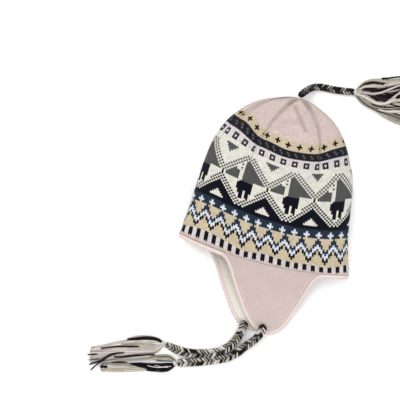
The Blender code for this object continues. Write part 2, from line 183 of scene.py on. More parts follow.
def read_smooth(known: Sequence[float], values: Sequence[float], at: np.ndarray) -> np.ndarray:
    """A smooth curve through known points.

    Args:
        known: places along the curve, rising.
        values: what the curve holds there.
        at: where to read it.

    Returns:
        The values there.
    """
    known = np.asarray(known, float)
    values = np.asarray(values, float)
    slopes = np.gradient(values, known)
    at = np.clip(at, known[0], known[-1])
    index = np.clip(np.searchsorted(known, at, side="right") - 1, 0, len(known) - 2)
    span = known[index + 1] - known[index]
    t = (at - known[index]) / span
    return (
        (2 * t**3 - 3 * t**2 + 1) * values[index]
        + (t**3 - 2 * t**2 + t) * span * slopes[index]
        + (3 * t**2 - 2 * t**3) * values[index + 1]
        + (t**3 - t**2) * span * slopes[index + 1]
    )


def ways_along(points: np.ndarray) -> np.ndarray:
    """How far along a line each of its points lies, in metres."""
    return np.concatenate([[0.0], np.cumsum(np.linalg.norm(np.diff(points, axis=0), axis=1))])


def smooth_line(points: np.ndarray, places: np.ndarray) -> np.ndarray:
    """Points of a smooth line through points, at places along it in metres."""
    way = ways_along(points)
    return np.stack([read_smooth(way, column, places) for column in points.T], axis=1)


def straight_line(known: np.ndarray, points: np.ndarray, places: np.ndarray) -> np.ndarray:
    """Points between the known ones of a line, at places along it."""
    return np.stack([np.interp(places, known, column) for column in points.T], axis=1)


def gathered(points: np.ndarray) -> np.ndarray:
    """A closed grid with its side columns joined, and one more row gathered in its tip."""
    points[:, -1] = points[:, 0]
    tip = points[-1].mean(axis=0)
    return np.concatenate([points, np.tile(tip, (1, points.shape[1], 1))])


def unit(vectors: np.ndarray) -> np.ndarray:
    """The same vectors, each of length one."""
    return vectors / np.maximum(np.linalg.norm(vectors, axis=-1, keepdims=True), 1e-12)


def grid_normals(points: np.ndarray, closed: bool) -> np.ndarray:
    """Normals of a grid of points.

    Args:
        points: (rows, columns, 3).
        closed: whether the last column is the first one again.

    Returns:
        One unit normal a point.
    """
    up = np.gradient(points, axis=0)
    if closed:
        body = points[:, :-1]
        along = np.roll(body, -1, axis=1) - np.roll(body, 1, axis=1)
        along = np.concatenate([along, along[:, :1]], axis=1)
    else:
        along = np.gradient(points, axis=1)
    return unit(np.cross(along, up))


def deselect() -> None:
    """Leaves object mode with nothing selected."""
    if bpy.context.object and bpy.context.object.mode != "OBJECT":
        bpy.ops.object.mode_set(mode="OBJECT")
    bpy.ops.object.select_all(action="DESELECT")


def cloth_grid(name: str, points: np.ndarray, uv: np.ndarray) -> bpy.types.Object:
    """A grid primitive laid over a sheet of points.

    Args:
        name: the piece's name.
        points: (rows, columns, 3).
        uv: (rows, columns, 2).

    Returns:
        The new piece, still open.
    """
    rows, columns = points.shape[0] - 1, points.shape[1] - 1
    deselect()
    bpy.ops.mesh.primitive_grid_add(x_subdivisions=columns, y_subdivisions=rows, size=2)
    piece = bpy.context.object
    piece.name = name
    piece.data.name = name
    mesh = piece.data
    mesh.vertices.foreach_set("co", points.reshape(-1).astype(np.float32))
    corners = np.empty(len(mesh.loops), np.int32)
    mesh.loops.foreach_get("vertex_index", corners)
    flat = uv.reshape(-1, 2)[corners]
    mesh.uv_layers[0].data.foreach_set("uv", flat.reshape(-1).astype(np.float32))
    mesh.update()
    return piece


def paint_relief_and_shade(piece: bpy.types.Object, relief: np.ndarray) -> None:
    """Says how strongly the stitches stand out at each point of a fresh grid; where it is low, at the crown's
    creases and the drawn-in darts, the material also darkens the colour there as painted shade.

    Args:
        piece: what cloth_grid returned.
        relief: one share a point.
    """
    # the Relief attribute sets the stitches' relief and, where it is low, painted shade in the colour
    layer = piece.data.attributes.new("Relief", "FLOAT", "POINT")
    layer.data.foreach_set("value", relief.reshape(-1).astype(np.float32))


def paint_cells(piece: bpy.types.Object, colours: np.ndarray) -> None:
    """Gives each cell of a fresh grid its yarn colour.

    Args:
        piece: what cloth_grid returned.
        colours: (rows, columns, 3), linear.
    """
    layer = piece.data.color_attributes.new("Yarn", "FLOAT_COLOR", "CORNER")
    cells = colours.reshape(-1, 3)
    full = np.ones((len(cells), 4, 4), np.float32)
    full[:, :, :3] = cells[:, None, :]
    layer.data.foreach_set("color", full.reshape(-1))


def close_doubles(piece: bpy.types.Object) -> None:
    """Joins points of the piece that lie at one place."""
    deselect()
    piece.select_set(True)
    bpy.context.view_layer.objects.active = piece
    bpy.ops.object.mode_set(mode="EDIT")
    bpy.ops.mesh.select_all(action="SELECT")
    bpy.ops.mesh.remove_doubles(threshold=2e-6)
    bpy.ops.object.mode_set(mode="OBJECT")


def thicken(piece: bpy.types.Object, wall: float) -> None:
    """Gives an open cloth its wall, inwards, and keeps it in the mesh.

    Args:
        piece: the cloth.
        wall: its thickness in metres.
    """
    deselect()
    piece.select_set(True)
    bpy.context.view_layer.objects.active = piece
    solidify = piece.modifiers.new("Wall", "SOLIDIFY")
    solidify.thickness = wall
    solidify.offset = -1.0
    bpy.ops.object.modifier_apply(modifier=solidify.name)


def finish_piece(piece: bpy.types.Object, material: bpy.types.Material) -> None:
    """Dresses a piece and lets it ride on the hat.

    Args:
        piece: the piece.
        material: its finish.
    """
    piece.data.materials.clear()
    piece.data.materials.append(material)
    piece.data.shade_smooth()
    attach(piece, ROOT)
    LOG.info("%s: %d faces", piece.name, len(piece.data.polygons))


def tube_points(path: np.ndarray, radii: np.ndarray, sides: int) -> np.ndarray:
    """Rings of points round a path.

    Args:
        path: (stations, 3).
        radii: one a station.
        sides: points on a ring; the first is repeated at the end.

    Returns:
        (stations, sides + 1, 3).
    """
    along = unit(np.gradient(path, axis=0))
    side = unit(np.cross(np.array([0.0, 0.0, 1.0]), along) + np.array([1e-6, 0.0, 0.0]))
    over = unit(np.cross(along, side))
    angle = np.linspace(0, 2 * math.pi, sides + 1)
    ring = np.cos(angle)[None, :, None] * side[:, None] + np.sin(angle)[None, :, None] * over[:, None]
    return path[:, None] + ring * np.asarray(radii)[:, None, None]


def strands_mesh(
    name: str,
    paths: Sequence[np.ndarray],
    radii: Sequence[np.ndarray],
    colours: Sequence[np.ndarray],
    sides: int,
) -> bpy.types.Object:
    """One mesh of many closed round strands, each with its own colour.

    Args:
        name: the piece's name.
        paths: one (stations, 3) a strand.
        radii: one array a strand.
        colours: one linear colour a strand, or one a station.
        sides: sides of each strand.

    Returns:
        The new piece.
    """
    vertices = []
    faces = []
    paint = []
    uvs = []
    start = 0
    for path, radius, colour in zip(paths, radii, colours):
        rings = tube_points(path, radius, sides)[:, :sides]
        count = len(path)
        vertices.append(rings.reshape(-1, 3))
        ring = np.arange(sides)
        rows = start + np.arange(count - 1)[:, None] * sides
        low, turn = rows + ring, rows + (ring + 1) % sides
        faces += np.stack([low, turn, turn + sides, low + sides], axis=-1).reshape(-1, 4).tolist()
        faces += [(start + ring[::-1]).tolist(), (start + (count - 1) * sides + ring).tolist()]
        way = ways_along(path)
        left, right = np.tile(ring / sides, count - 1), np.tile((ring + 1) / sides, count - 1)
        below, above = np.repeat(way[:-1], sides), np.repeat(way[1:], sides)
        uvs.append(np.stack([left, below, right, below, right, above, left, above], axis=-1).reshape(-1, 2))
        uvs.append(np.zeros((2 * sides, 2)))
        tones = np.broadcast_to(colour, (count, 3))
        paint.append(np.repeat(tones[:-1], sides * 4, axis=0))
        paint.append(np.repeat(tones[[0, -1]], sides, axis=0))
        start += count * sides
    mesh = bpy.data.meshes.new(name)
    mesh.from_pydata(np.concatenate(vertices).tolist(), [], faces)
    layer = mesh.color_attributes.new("Yarn", "FLOAT_COLOR", "CORNER")
    colour = np.concatenate(paint)
    full = np.concatenate([colour, np.ones((len(colour), 1))], axis=1)
    layer.data.foreach_set("color", full.reshape(-1).astype(np.float32))
    grid = mesh.uv_layers.new(name="UVMap")
    grid.data.foreach_set("uv", np.concatenate(uvs).reshape(-1).astype(np.float32))
    piece = bpy.data.objects.new(name, mesh)
    bpy.context.scene.collection.objects.link(piece)
    return piece


class Nodes:
    """Builds a node tree with short calls."""

    def __init__(self, tree: bpy.types.NodeTree) -> None:
        """Starts building.

        Args:
            tree: the tree to build in.
        """
        self.tree = tree

    def add(self, kind: str, **values: object) -> bpy.types.Node:
        """Adds a node and sets its properties."""
        node = self.tree.nodes.new(kind)
        for key, value in values.items():
            setattr(node, key, value)
        return node

    def link(self, source: bpy.types.NodeSocket, target: bpy.types.NodeSocket) -> None:
        """Joins two sockets."""
        self.tree.links.new(source, target)

    def math(self, kind: str, *inputs: object) -> bpy.types.NodeSocket:
        """A Math node.

        Args:
            kind: its operation.
            inputs: sockets or numbers.

        Returns:
            Its output.
        """
        node = self.add("ShaderNodeMath", operation=kind)
        for socket, value in zip(node.inputs, inputs):
            if isinstance(value, bpy.types.NodeSocket):
                self.link(value, socket)
            else:
                socket.default_value = value
        return node.outputs[0]


def make_group(
    name: str,
    inputs: Sequence[tuple],
    outputs: Sequence[tuple],
    fill: Callable[[Nodes, bpy.types.Node, bpy.types.Node], None],
) -> bpy.types.ShaderNodeTree:
    """A shader node group.

    Args:
        name: its name.
        inputs: (name, socket type, default) each.
        outputs: (name, socket type) each.
        fill: builds its inside from the tree and its two ends.

    Returns:
        The group.
    """
    tree = bpy.data.node_groups.new(name, "ShaderNodeTree")
    for label, kind, default in inputs:
        socket = tree.interface.new_socket(name=label, in_out="INPUT", socket_type=kind)
        if default is not None:
            socket.default_value = default
    for label, kind in outputs:
        tree.interface.new_socket(name=label, in_out="OUTPUT", socket_type=kind)
    nodes = Nodes(tree)
    fill(nodes, nodes.add("NodeGroupInput"), nodes.add("NodeGroupOutput"))
    return tree


def stitch_group() -> bpy.types.ShaderNodeTree:
    """Relief of stocking stitch. UV counts stitches across and rows up."""

    def fill(nodes: Nodes, ins: bpy.types.Node, outs: bpy.types.Node) -> None:
        """Builds the V of each stitch from its two legs."""
        split = nodes.add("ShaderNodeSeparateXYZ")
        nodes.link(ins.outputs["UV"], split.inputs[0])
        across = nodes.math("FRACT", split.outputs[0])
        from_middle = nodes.math("ABSOLUTE", nodes.math("SUBTRACT", across, 0.5))
        drop = nodes.math("MULTIPLY", from_middle, ins.outputs["Slant"])
        row = nodes.math("FRACT", nodes.math("SUBTRACT", split.outputs[1], drop))
        half = nodes.math("FRACT", nodes.math("MULTIPLY", across, 2.0))
        leg = nodes.math("SINE", nodes.math("MULTIPLY", half, math.pi))
        strand = nodes.math("SINE", nodes.math("MULTIPLY", row, math.pi))
        leg_round = nodes.math("POWER", leg, 0.5)
        strand_round = nodes.math("POWER", strand, 0.6)
        strand_share = nodes.math("ADD", nodes.math("MULTIPLY", strand_round, 0.7), 0.3)
        nodes.link(nodes.math("MULTIPLY", leg_round, strand_share), outs.inputs["Height"])

    return make_group(
        "Stocking stitch",
        [("UV", "NodeSocketVector", None), ("Slant", "NodeSocketFloat", 0.0)],
        [("Height", "NodeSocketFloat")],
        fill,
    )


def wool_group() -> bpy.types.ShaderNodeTree:
    """Fuzz and uneven dye of wool: a small height, and a factor for the colour."""

    def fill(nodes: Nodes, ins: bpy.types.Node, outs: bpy.types.Node) -> None:
        """Adds fine and broad noise."""
        fine = nodes.add("ShaderNodeTexNoise")
        fine.inputs["Detail"].default_value = 3.0
        nodes.link(ins.outputs["Place"], fine.inputs["Vector"])
        nodes.link(ins.outputs["Fineness"], fine.inputs["Scale"])
        broad = nodes.add("ShaderNodeTexNoise")
        broad.inputs["Detail"].default_value = 2.0
        broad.inputs["Scale"].default_value = 38.0
        nodes.link(ins.outputs["Place"], broad.inputs["Vector"])
        nodes.link(fine.outputs["Fac"], outs.inputs["Fuzz"])
        low = nodes.math("MULTIPLY", nodes.math("SUBTRACT", broad.outputs["Fac"], 0.5), 0.16)
        high = nodes.math("MULTIPLY", nodes.math("SUBTRACT", fine.outputs["Fac"], 0.5), 0.30)
        nodes.link(nodes.math("ADD", nodes.math("ADD", low, high), 1.0), outs.inputs["Shade"])

    return make_group(
        "Wool fuzz",
        [("Place", "NodeSocketVector", None), ("Fineness", "NodeSocketFloat", 1800.0)],
        [("Fuzz", "NodeSocketFloat"), ("Shade", "NodeSocketFloat")],
        fill,
    )


class ClothMaterial(Nodes):
    """A Principled material of wool, built with short calls."""

    def __init__(self, name: str, roughness: float, specular: float, sheen: float) -> None:
        """Starts the material.

        Args:
            name: its name.
            roughness: its roughness.
            specular: its specular level.
            sheen: its sheen.
        """
        self.material = bpy.data.materials.new(name)
        self.material.use_nodes = True
        super().__init__(self.material.node_tree)
        self.shader = self.tree.nodes["Principled BSDF"]
        self.shader.inputs["Roughness"].default_value = roughness
        self.shader.inputs["Specular IOR Level"].default_value = specular
        self.shader.inputs["Sheen Weight"].default_value = sheen
        self.place = self.add("ShaderNodeTexCoord").outputs["Object"]

    def fuzz(self, wool: bpy.types.ShaderNodeTree, fineness: float) -> bpy.types.Node:
        """The fuzz group at this fineness, fixed to the piece."""
        group = self.add("ShaderNodeGroup", node_tree=wool)
        group.inputs["Fineness"].default_value = fineness
        self.link(self.place, group.inputs["Place"])
        return group

    def sum_of(self, *terms: tuple) -> bpy.types.NodeSocket:
        """The sum of two products, each given as its two factors."""
        return self.math("ADD", *(self.math("MULTIPLY", *term) for term in terms))

    def dress(
        self,
        colour: Yarn | None,
        shade: bpy.types.NodeSocket,
        height: bpy.types.NodeSocket,
    ) -> bpy.types.Material:
        """Joins colour and relief to the shader.

        Args:
            colour: one colour, or None for the mesh's own yarns.
            shade: what the colour is multiplied with.
            height: the relief in metres.

        Returns:
            The finished material.
        """
        mixed = self.add("ShaderNodeVectorMath", operation="SCALE")
        if colour is None:
            yarns = self.add("ShaderNodeAttribute", attribute_name="Yarn")
            self.link(yarns.outputs["Color"], mixed.inputs[0])
        else:
            mixed.inputs[0].default_value = colour.linear()
        self.link(shade, mixed.inputs["Scale"])
        self.link(mixed.outputs[0], self.shader.inputs["Base Color"])
        bump = self.add("ShaderNodeBump")
        bump.inputs["Distance"].default_value = 1.0
        self.link(height, bump.inputs["Height"])
        self.link(bump.outputs[0], self.shader.inputs["Normal"])
        return self.material


@dataclass(frozen=True)
class WoolFinish:
    """Knitted or spun wool in the colours of the mesh, with the relief of its stitches or plies, and painted
    shade that darkens the colour in their grooves.
    """

    name: str
    slant: float = 0.0
    stitch_depth: float = 0.0009
    fuzz_depth: float = 0.00025
    fineness: float = 1800.0
    # groove: how strongly the colour is darkened as painted shade in the grooves between stitches or plies
    groove: float = 0.45
    twist: float = 0.0
    # relief at creases and drawn-in darts; below zero, it darkens the colour there as painted shade
    fold_shade_and_relief: float | None = None

    def relief(self, nodes: ClothMaterial, stitches: bpy.types.ShaderNodeTree) -> bpy.types.NodeSocket:
        """The relief of plies, where the yarn has a twist, or of stitches; where the Relief attribute is low,
        at creases and darts, it sinks below zero, which also darkens the colour there as painted shade.

        Args:
            nodes: the material so far.
            stitches: the stocking stitch group.

        Returns:
            A height from 0 to 1.
        """
        uv = nodes.add("ShaderNodeUVMap", uv_map="UVMap").outputs[0]
        if self.twist:
            split = nodes.add("ShaderNodeSeparateXYZ")
            nodes.link(uv, split.inputs[0])
            turn = nodes.math("ADD", nodes.math("MULTIPLY", split.outputs[1], self.twist), split.outputs[0])
            return nodes.math("ABSOLUTE", nodes.math("SINE", nodes.math("MULTIPLY", turn, 4 * math.pi)))
        group = nodes.add("ShaderNodeGroup", node_tree=stitches)
        group.inputs["Slant"].default_value = self.slant
        nodes.link(uv, group.inputs["UV"])
        if self.fold_shade_and_relief is None:
            return group.outputs["Height"]
        # painted shade: where the Relief attribute is low, the relief mixes towards the fold value and the
        # colour darkens
        strength = nodes.add("ShaderNodeAttribute", attribute_name="Relief").outputs["Fac"]
        flat = nodes.math("SUBTRACT", 1.0, strength)
        return nodes.sum_of((group.outputs["Height"], strength), (flat, self.fold_shade_and_relief))

    def build(self, stitches: bpy.types.ShaderNodeTree, wool: bpy.types.ShaderNodeTree) -> bpy.types.Material:
        """The material.

        Args:
            stitches: the stocking stitch group.
            wool: the fuzz group.

        Returns:
            A Principled material of that wool.
        """
        nodes = ClothMaterial(self.name, roughness=0.92, specular=0.08, sheen=0.03)
        nodes.shader.inputs["Sheen Roughness"].default_value = 0.55
        fuzz = nodes.fuzz(wool, self.fineness)
        relief = self.relief(nodes, stitches)
        # painted shade: the colour is darkened where the relief is low, in the grooves between stitches or
        # plies; the fuzz group's uneven dye is multiplied on too
        tone = nodes.math("ADD", nodes.math("MULTIPLY", relief, self.groove), 1.0 - self.groove * 0.8)
        shade = nodes.math("MULTIPLY", fuzz.outputs["Shade"], tone)
        height = nodes.sum_of((relief, self.stitch_depth), (fuzz.outputs["Fuzz"], self.fuzz_depth))
        return nodes.dress(None, shade, height)


@dataclass(frozen=True)
class FleeceFinish:
    """Short cream pile."""

    name: str = "cream fleece"
    fineness: float = 700.0
    clump_scale: float = 160.0
    pile_depth: float = 0.0006

    def build(self, wool: bpy.types.ShaderNodeTree) -> bpy.types.Material:
        """The material.

        Args:
            wool: the fuzz group.

        Returns:
            A Principled material of that fleece.
        """
        nodes = ClothMaterial(self.name, roughness=0.97, specular=0.15, sheen=0.35)
        pile = nodes.fuzz(wool, self.fineness)
        clumps = nodes.add("ShaderNodeTexNoise")
        clumps.inputs["Scale"].default_value = self.clump_scale
        nodes.link(nodes.place, clumps.inputs["Vector"])
        depth = self.pile_depth
        height = nodes.sum_of((clumps.outputs["Fac"], depth), (pile.outputs["Fuzz"], depth))
        return nodes.dress(Yarn.FLEECE, pile.outputs["Shade"], height)


class Band(NamedTuple):
    """One band of the chart: its rows, and how high its top lies on the middle line."""

    name: str
    rows: int
    top: float


BANDS = (
    Band("plain hem", 1, -0.0887),
    Band("dashes", 3, -0.0789),
    Band("waves", 13, -0.0419),
    Band("stars", 4, -0.0298),
    Band("llamas", 31, 0.0496),
    Band("plain cream", 2, 0.0547),
    Band("squares", 4, 0.0664),
    Band("marled", 4, 0.0780),
    Band("crosses", 5, 0.0926),
    Band("crown", 27, 0.1582),
)

LLAMA_FIRST_ROW = 4
LLAMA_FIRST_COLUMN = -5
LLAMA = (
    "...w.......",
    "...w.......",
    ".www.......",
    "wwgw.......",
    "wwww.......",
    "..ww.......",
    "..ww.......",
    "..ww.......",
    "..ww.......",
    "..wwgggggg.",
    "...nnnnnnn.",
    "..nnnnnnnn.",
    "..nnnnnnnn.",
    "..nnnnnnnn.",
    "..nnnnnnnn.",
    "...nnn.nnn.",
    "...nnn.nn..",
    "....nn.nn..",
    "....nn.nn..",
    "....nn..nn.",
)


class WaveColumn(NamedTuple):
    """One stitch column of the zigzag, from its peak to its valley: the row each yarn starts at."""

    black: int
    white: int
    slate: int
    sand: int


WAVE_COLUMNS = (
    WaveColumn(black=7, white=8, slate=10, sand=13),
    WaveColumn(black=5, white=7, slate=9, sand=12),
    WaveColumn(black=4, white=6, slate=8, sand=10),
    WaveColumn(black=2, white=4, slate=6, sand=8),
    WaveColumn(black=1, white=3, slate=5, sand=7),
)


@dataclass(frozen=True)
class StitchChart:
    """The colour work: which yarn each stitch is knitted in."""

    repeat: int = 24
    crossing: int = 12
    upper_end: int = 13
    navy_arms: int = 26
    navy_ground: int = 28
    navy_gap: int = 24

    def llama(self, row: int, column: int) -> Yarn | None:
        """The llama's yarn at a stitch, or None beside it.

        Args:
            row: rows down from the top of the grey peak.
            column: stitches from the middle of the repeat.

        Returns:
            The yarn, or None.
        """
        line = row - LLAMA_FIRST_ROW
        place = column - LLAMA_FIRST_COLUMN
        if not (0 <= line < len(LLAMA) and 0 <= place < len(LLAMA[line])):
            return None
        return {"w": Yarn.CREAM, "n": Yarn.NAVY, "g": Yarn.GREY}.get(LLAMA[line][place])

    def panel(self, row: int, column: int) -> Yarn:
        """The wide panel: grey peaks above, navy peaks below, and a llama in each diamond.

        Args:
            row: rows down from the top of the grey peak.
            column: stitches from the middle of the repeat, -12 to 11.

        Returns:
            The yarn.
        """
        away = abs(column)
        edge = self.crossing - away
        if row < self.upper_end:
            if -1 <= row <= 2 and edge <= 2 - row:
                return Yarn.GREY
            depth = row - away
            if row < 0 or depth < -2:
                return Yarn.CREAM
            if depth < 2:
                return Yarn.GREY if depth % 2 == 0 else Yarn.CREAM
            return self.llama(row, column) or Yarn.GREY
        if row == self.upper_end and edge == 0:
            return Yarn.NAVY
        if row == self.upper_end and -10 <= column <= -4:
            return Yarn.GREY
        depth = row + away - self.navy_arms
        beside_leg = depth == 0 and 3 <= column <= 6
        if depth < 0 or beside_leg:
            return self.llama(row, column) or Yarn.CREAM
        if depth < 4 and row < self.navy_ground:
            return Yarn.NAVY if depth % 2 == 0 else Yarn.CREAM
        if self.navy_gap <= row < self.navy_ground and edge <= row - self.navy_gap:
            return Yarn.CREAM
        return Yarn.NAVY

    def waves(self, row: int, column: int) -> Yarn:
        """The zigzag band, rows counted up.

        Args:
            row: rows up from the band's lower edge.
            column: stitches from the middle of the repeat.

        Returns:
            The yarn.
        """
        step = (column - 1) % 8
        away = min(step, 8 - step)
        starts = WAVE_COLUMNS[away]
        if row < starts.black:
            return Yarn.BEIGE
        if row < starts.white:
            return Yarn.BLACK
        if row < starts.slate:
            return Yarn.SNOW
        if row < starts.sand:
            return Yarn.SLATE
        return Yarn.BEIGE

    def from_motif(self, column: int) -> int:
        """Stitches from a column to the middle of the nearest star, square or cross."""
        return abs((column + 4) % 6 - 3)

    def yarn(self, band: Band, row: int, column: int) -> Yarn:
        """The yarn of one stitch.

        Args:
            band: the band it is in.
            row: rows up from the band's lower edge.
            column: stitches from the middle of a llama repeat.

        Returns:
            The yarn.
        """
        near = (column + self.repeat // 2) % self.repeat - self.repeat // 2
        away = self.from_motif(column)
        if band.name == "dashes":
            return Yarn.BLACK if column % 4 in (3, 0) else Yarn.LILAC
        if band.name == "waves":
            return self.waves(row, column)
        if band.name == "stars":
            star = (row == 1 and away <= 1) or (row in (0, 2) and away == 0)
            return Yarn.SNOW if star else Yarn.SLATE
        if band.name == "llamas":
            return self.panel(29 - row, near)
        if band.name == "plain cream":
            return Yarn.CREAM
        if band.name == "squares":
            ring = row < 3 and away <= 1 and not (row == 1 and away == 0)
            return Yarn.CHARCOAL if ring else Yarn.LILAC
        if band.name == "marled":
            fleck = (column + row) % 4
            if row in (1, 2) and fleck == 0:
                return Yarn.GREY
            return Yarn.CHARCOAL if fleck in (1, 3) else Yarn.NAVY
        if band.name == "crosses":
            cross = (row == 2 and away <= 1) or (row in (1, 3) and away == 0)
            return Yarn.BLACK if cross else Yarn.BEIGE
        return Yarn.PINK


class Crease(NamedTuple):
    """A fold line of the crown, seen from above: its points, depth and width in metres."""

    points: tuple
    depth: float
    width: float


CREASES = (
    Crease(((-0.0075, 0.1455), (-0.0005, 0.1350), (0.0062, 0.1251), (0.0155, 0.1131)), 0.0028, 0.0022),
    Crease(((-0.0310, 0.1150), (-0.0110, 0.1210), (0.0062, 0.1235)), 0.0007, 0.0042),
    Crease(
        ((-0.0473, 0.1485), (-0.0591, 0.1367), (-0.0689, 0.1249), (-0.0787, 0.1122), (-0.0826, 0.1053)),
        0.0016,
        0.0024,
    ),
)


class Lie(NamedTuple):
    """How much a row rises above its ring, in millimetres, at nine places from front to back."""

    up: float
    rise: tuple


LIES = (
    Lie(0.000, (0.0, 0.0, 0.0, 0.0, 0.0, 0.0, 0.0, 0.0, 0.0)),
    Lie(0.042, (-0.5, 5.2, 3.0, -2.6, 0.8, -2.0, -2.2, -4.0, 1.5)),
    Lie(0.110, (1.0, 6.0, 4.2, -0.4, 0.9, -1.2, -1.5, -2.0, 2.2)),
    Lie(0.239, (3.5, 6.3, 4.7, 2.6, 1.1, -0.2, -0.4, 0.3, 3.0)),
    Lie(0.469, (5.3, 5.2, 4.3, 2.9, 1.7, 0.5, -0.4, 0.8, 3.0)),
    Lie(0.681, (8.4, 8.6, 5.6, 3.8, 0.9, 0.1, -0.3, 3.2, 4.5)),
    Lie(0.794, (10.1, 10.4, 4.0, 3.4, 0.6, -0.4, -0.6, 3.5, 5.0)),
    Lie(0.900, (5.0, 5.0, 2.0, 1.5, 0.3, -0.2, -0.3, 1.6, 2.4)),
    Lie(1.000, (0.0, 0.0, 0.0, 0.0, 0.0, 0.0, 0.0, 0.0, 0.0)),
)


@dataclass(frozen=True)
class HatForm:
    """The lie of the hat: where each place of the body and of the flaps is."""

    hem_width: float = 0.262
    body_height: float = 0.239
    hem_level: float = -0.080
    loft: float = 0.058
    row_sag: float = 0.026
    top_roundness: float = 2.6
    flat_share: float = 0.80
    dart_depth: float = 0.0030
    darts: tuple = (0.035, 0.152, 0.370, 0.490, 0.610, 0.740, 0.870)
    dart_width: float = 0.0095
    flap_width: float = 0.150
    flap_length: float = 0.097
    flap_lean: float = 0.016
    near_flap_middle: float = 0.015
    far_flap_middle: float = -0.007
    flap_fall: float = 1.7
    knit_wall: float = 0.0022
    fleece_wall: float = 0.0018
    gap: float = 0.0003
    rise_scale: float = 0.00097

    @property
    def sandwich(self) -> float:
        """Thickness of knit and lining together."""
        return self.knit_wall + self.gap + self.fleece_wall

    @property
    def near_flap_rest(self) -> float:
        """Height at which the near flap's outer face lies on the far flap."""
        return 2 * self.sandwich + 2 * self.gap

    def section(self, up: float) -> Section:
        """The ring at this share of the height."""
        known = [section.up for section in SECTIONS]
        names = Section._fields[1:]
        read = [float(read_smooth(known, [getattr(s, name) for s in SECTIONS], up)) for name in names]
        ring = Section(up, *read)
        return ring._replace(base=max(0.0, ring.base), dart=max(0.0, ring.dart))

    def outline(self, up: float, samples: int = 720) -> tuple[np.ndarray, np.ndarray, float]:
        """A fine outline of the ring.

        Args:
            up: share of the height.
            samples: how many points.

        Returns:
            Its points, how far round each is (0 to 1), and its length in metres.
        """
        ring = self.section(up)
        angle = np.linspace(0.0, 2 * math.pi, samples + 1)
        side = -np.cos(angle)
        crown = np.sqrt(np.clip(1 - np.abs(side) ** self.top_roundness, 0, 1))
        corner = np.clip((np.abs(side) - self.flat_share) / (1 - self.flat_share), 0, 1)
        under = 1 - np.sqrt(1 - corner**2)
        above = ring.fold + (ring.top - ring.fold) * crown
        below = ring.base + (ring.fold - ring.base) * under
        height = np.where(angle <= math.pi, above, below)
        x = (ring.lean + ring.half * side) * self.hem_width / 2
        y = self.hem_level + up * self.body_height - ring.sag * self.row_sag * (1 - side**2)
        z = height * self.loft
        steps = np.hypot(np.diff(x), np.diff(z))
        way = np.concatenate([[0.0], np.cumsum(steps)])
        return np.stack([x, y, z], axis=1), way / way[-1], float(way[-1])

    def lie(self, up: float, points: np.ndarray) -> np.ndarray:
        """How much higher than its ring a row lies here, as a share of the height.

        Args:
            up: the ring's share of the height.
            points: points of the ring.

        Returns:
            One share a point.
        """
        ring = self.section(up)
        side = np.clip((points[:, 0] / (self.hem_width / 2) - ring.lean) / ring.half, -1, 1)
        known = [row.up for row in LIES]
        across = np.array([float(read_smooth(known, [row.rise[k] for row in LIES], up)) for k in range(9)])
        near = read_smooth(np.linspace(-1, 1, 9), across, side)
        far = across[0] + (across[-1] - across[0]) * (side + 1) / 2
        upper = points[:, 2] >= ring.fold * self.loft
        return np.where(upper, near, far) * self.rise_scale / self.body_height

    def ring(self, up: float, turns: np.ndarray) -> np.ndarray:
        """Points of the ring at these shares of the way round."""
        points, way, _ = self.outline(up)
        return straight_line(way, points, np.mod(turns, 1.0))

    def hem_turn(self, x: float, near: bool) -> float:
        """How far round the hem lies at this x, on the near or the far layer."""
        points, way, _ = self.outline(0.0)
        middle = len(way) // 2
        if near:
            return float(np.interp(x, points[: middle + 1, 0], way[: middle + 1]))
        return float(np.interp(-x, -points[middle:, 0], way[middle:]))

    def up_at(self, levels: np.ndarray) -> np.ndarray:
        """Shares of the height whose rings cross the middle line at these y levels."""
        ups = np.linspace(0, 1, 400)
        sags = np.array([self.section(up).sag for up in ups])
        heights = self.hem_level + ups * self.body_height - sags * self.row_sag * 0.98
        return np.interp(levels, heights, ups)

    def flap_point(self, near: bool, across: np.ndarray, down: float) -> np.ndarray:
        """Points on a flap's outer face.

        Args:
            near: the near flap or the far one.
            across: from -1 at the front edge to 1 at the back one.
            down: share of the flap's length.

        Returns:
            One point for each across.
        """
        middle = self.near_flap_middle if near else self.far_flap_middle
        tops = middle + np.asarray(across) * self.flap_width / 2
        hem = self.ring(0.0, np.array([self.hem_turn(x, near) for x in tops]))
        middle_y = self.ring(0.0, np.array([self.hem_turn(middle, near)]))[0, 1]
        half = float(read_smooth([r.down for r in FLAP_ROWS], [r.half for r in FLAP_ROWS], down))
        x = middle + self.flap_lean * down + np.asarray(across) * half * self.flap_width / 2
        y = hem[:, 1] * (1 - down) + (middle_y - self.flap_length) * down
        if not near:
            return np.stack([x, y, np.zeros_like(x)], axis=1)
        fall = (1 - down) ** self.flap_fall
        z = self.near_flap_rest + (hem[:, 2] - self.near_flap_rest) * fall
        return np.stack([x, y, z], axis=1)


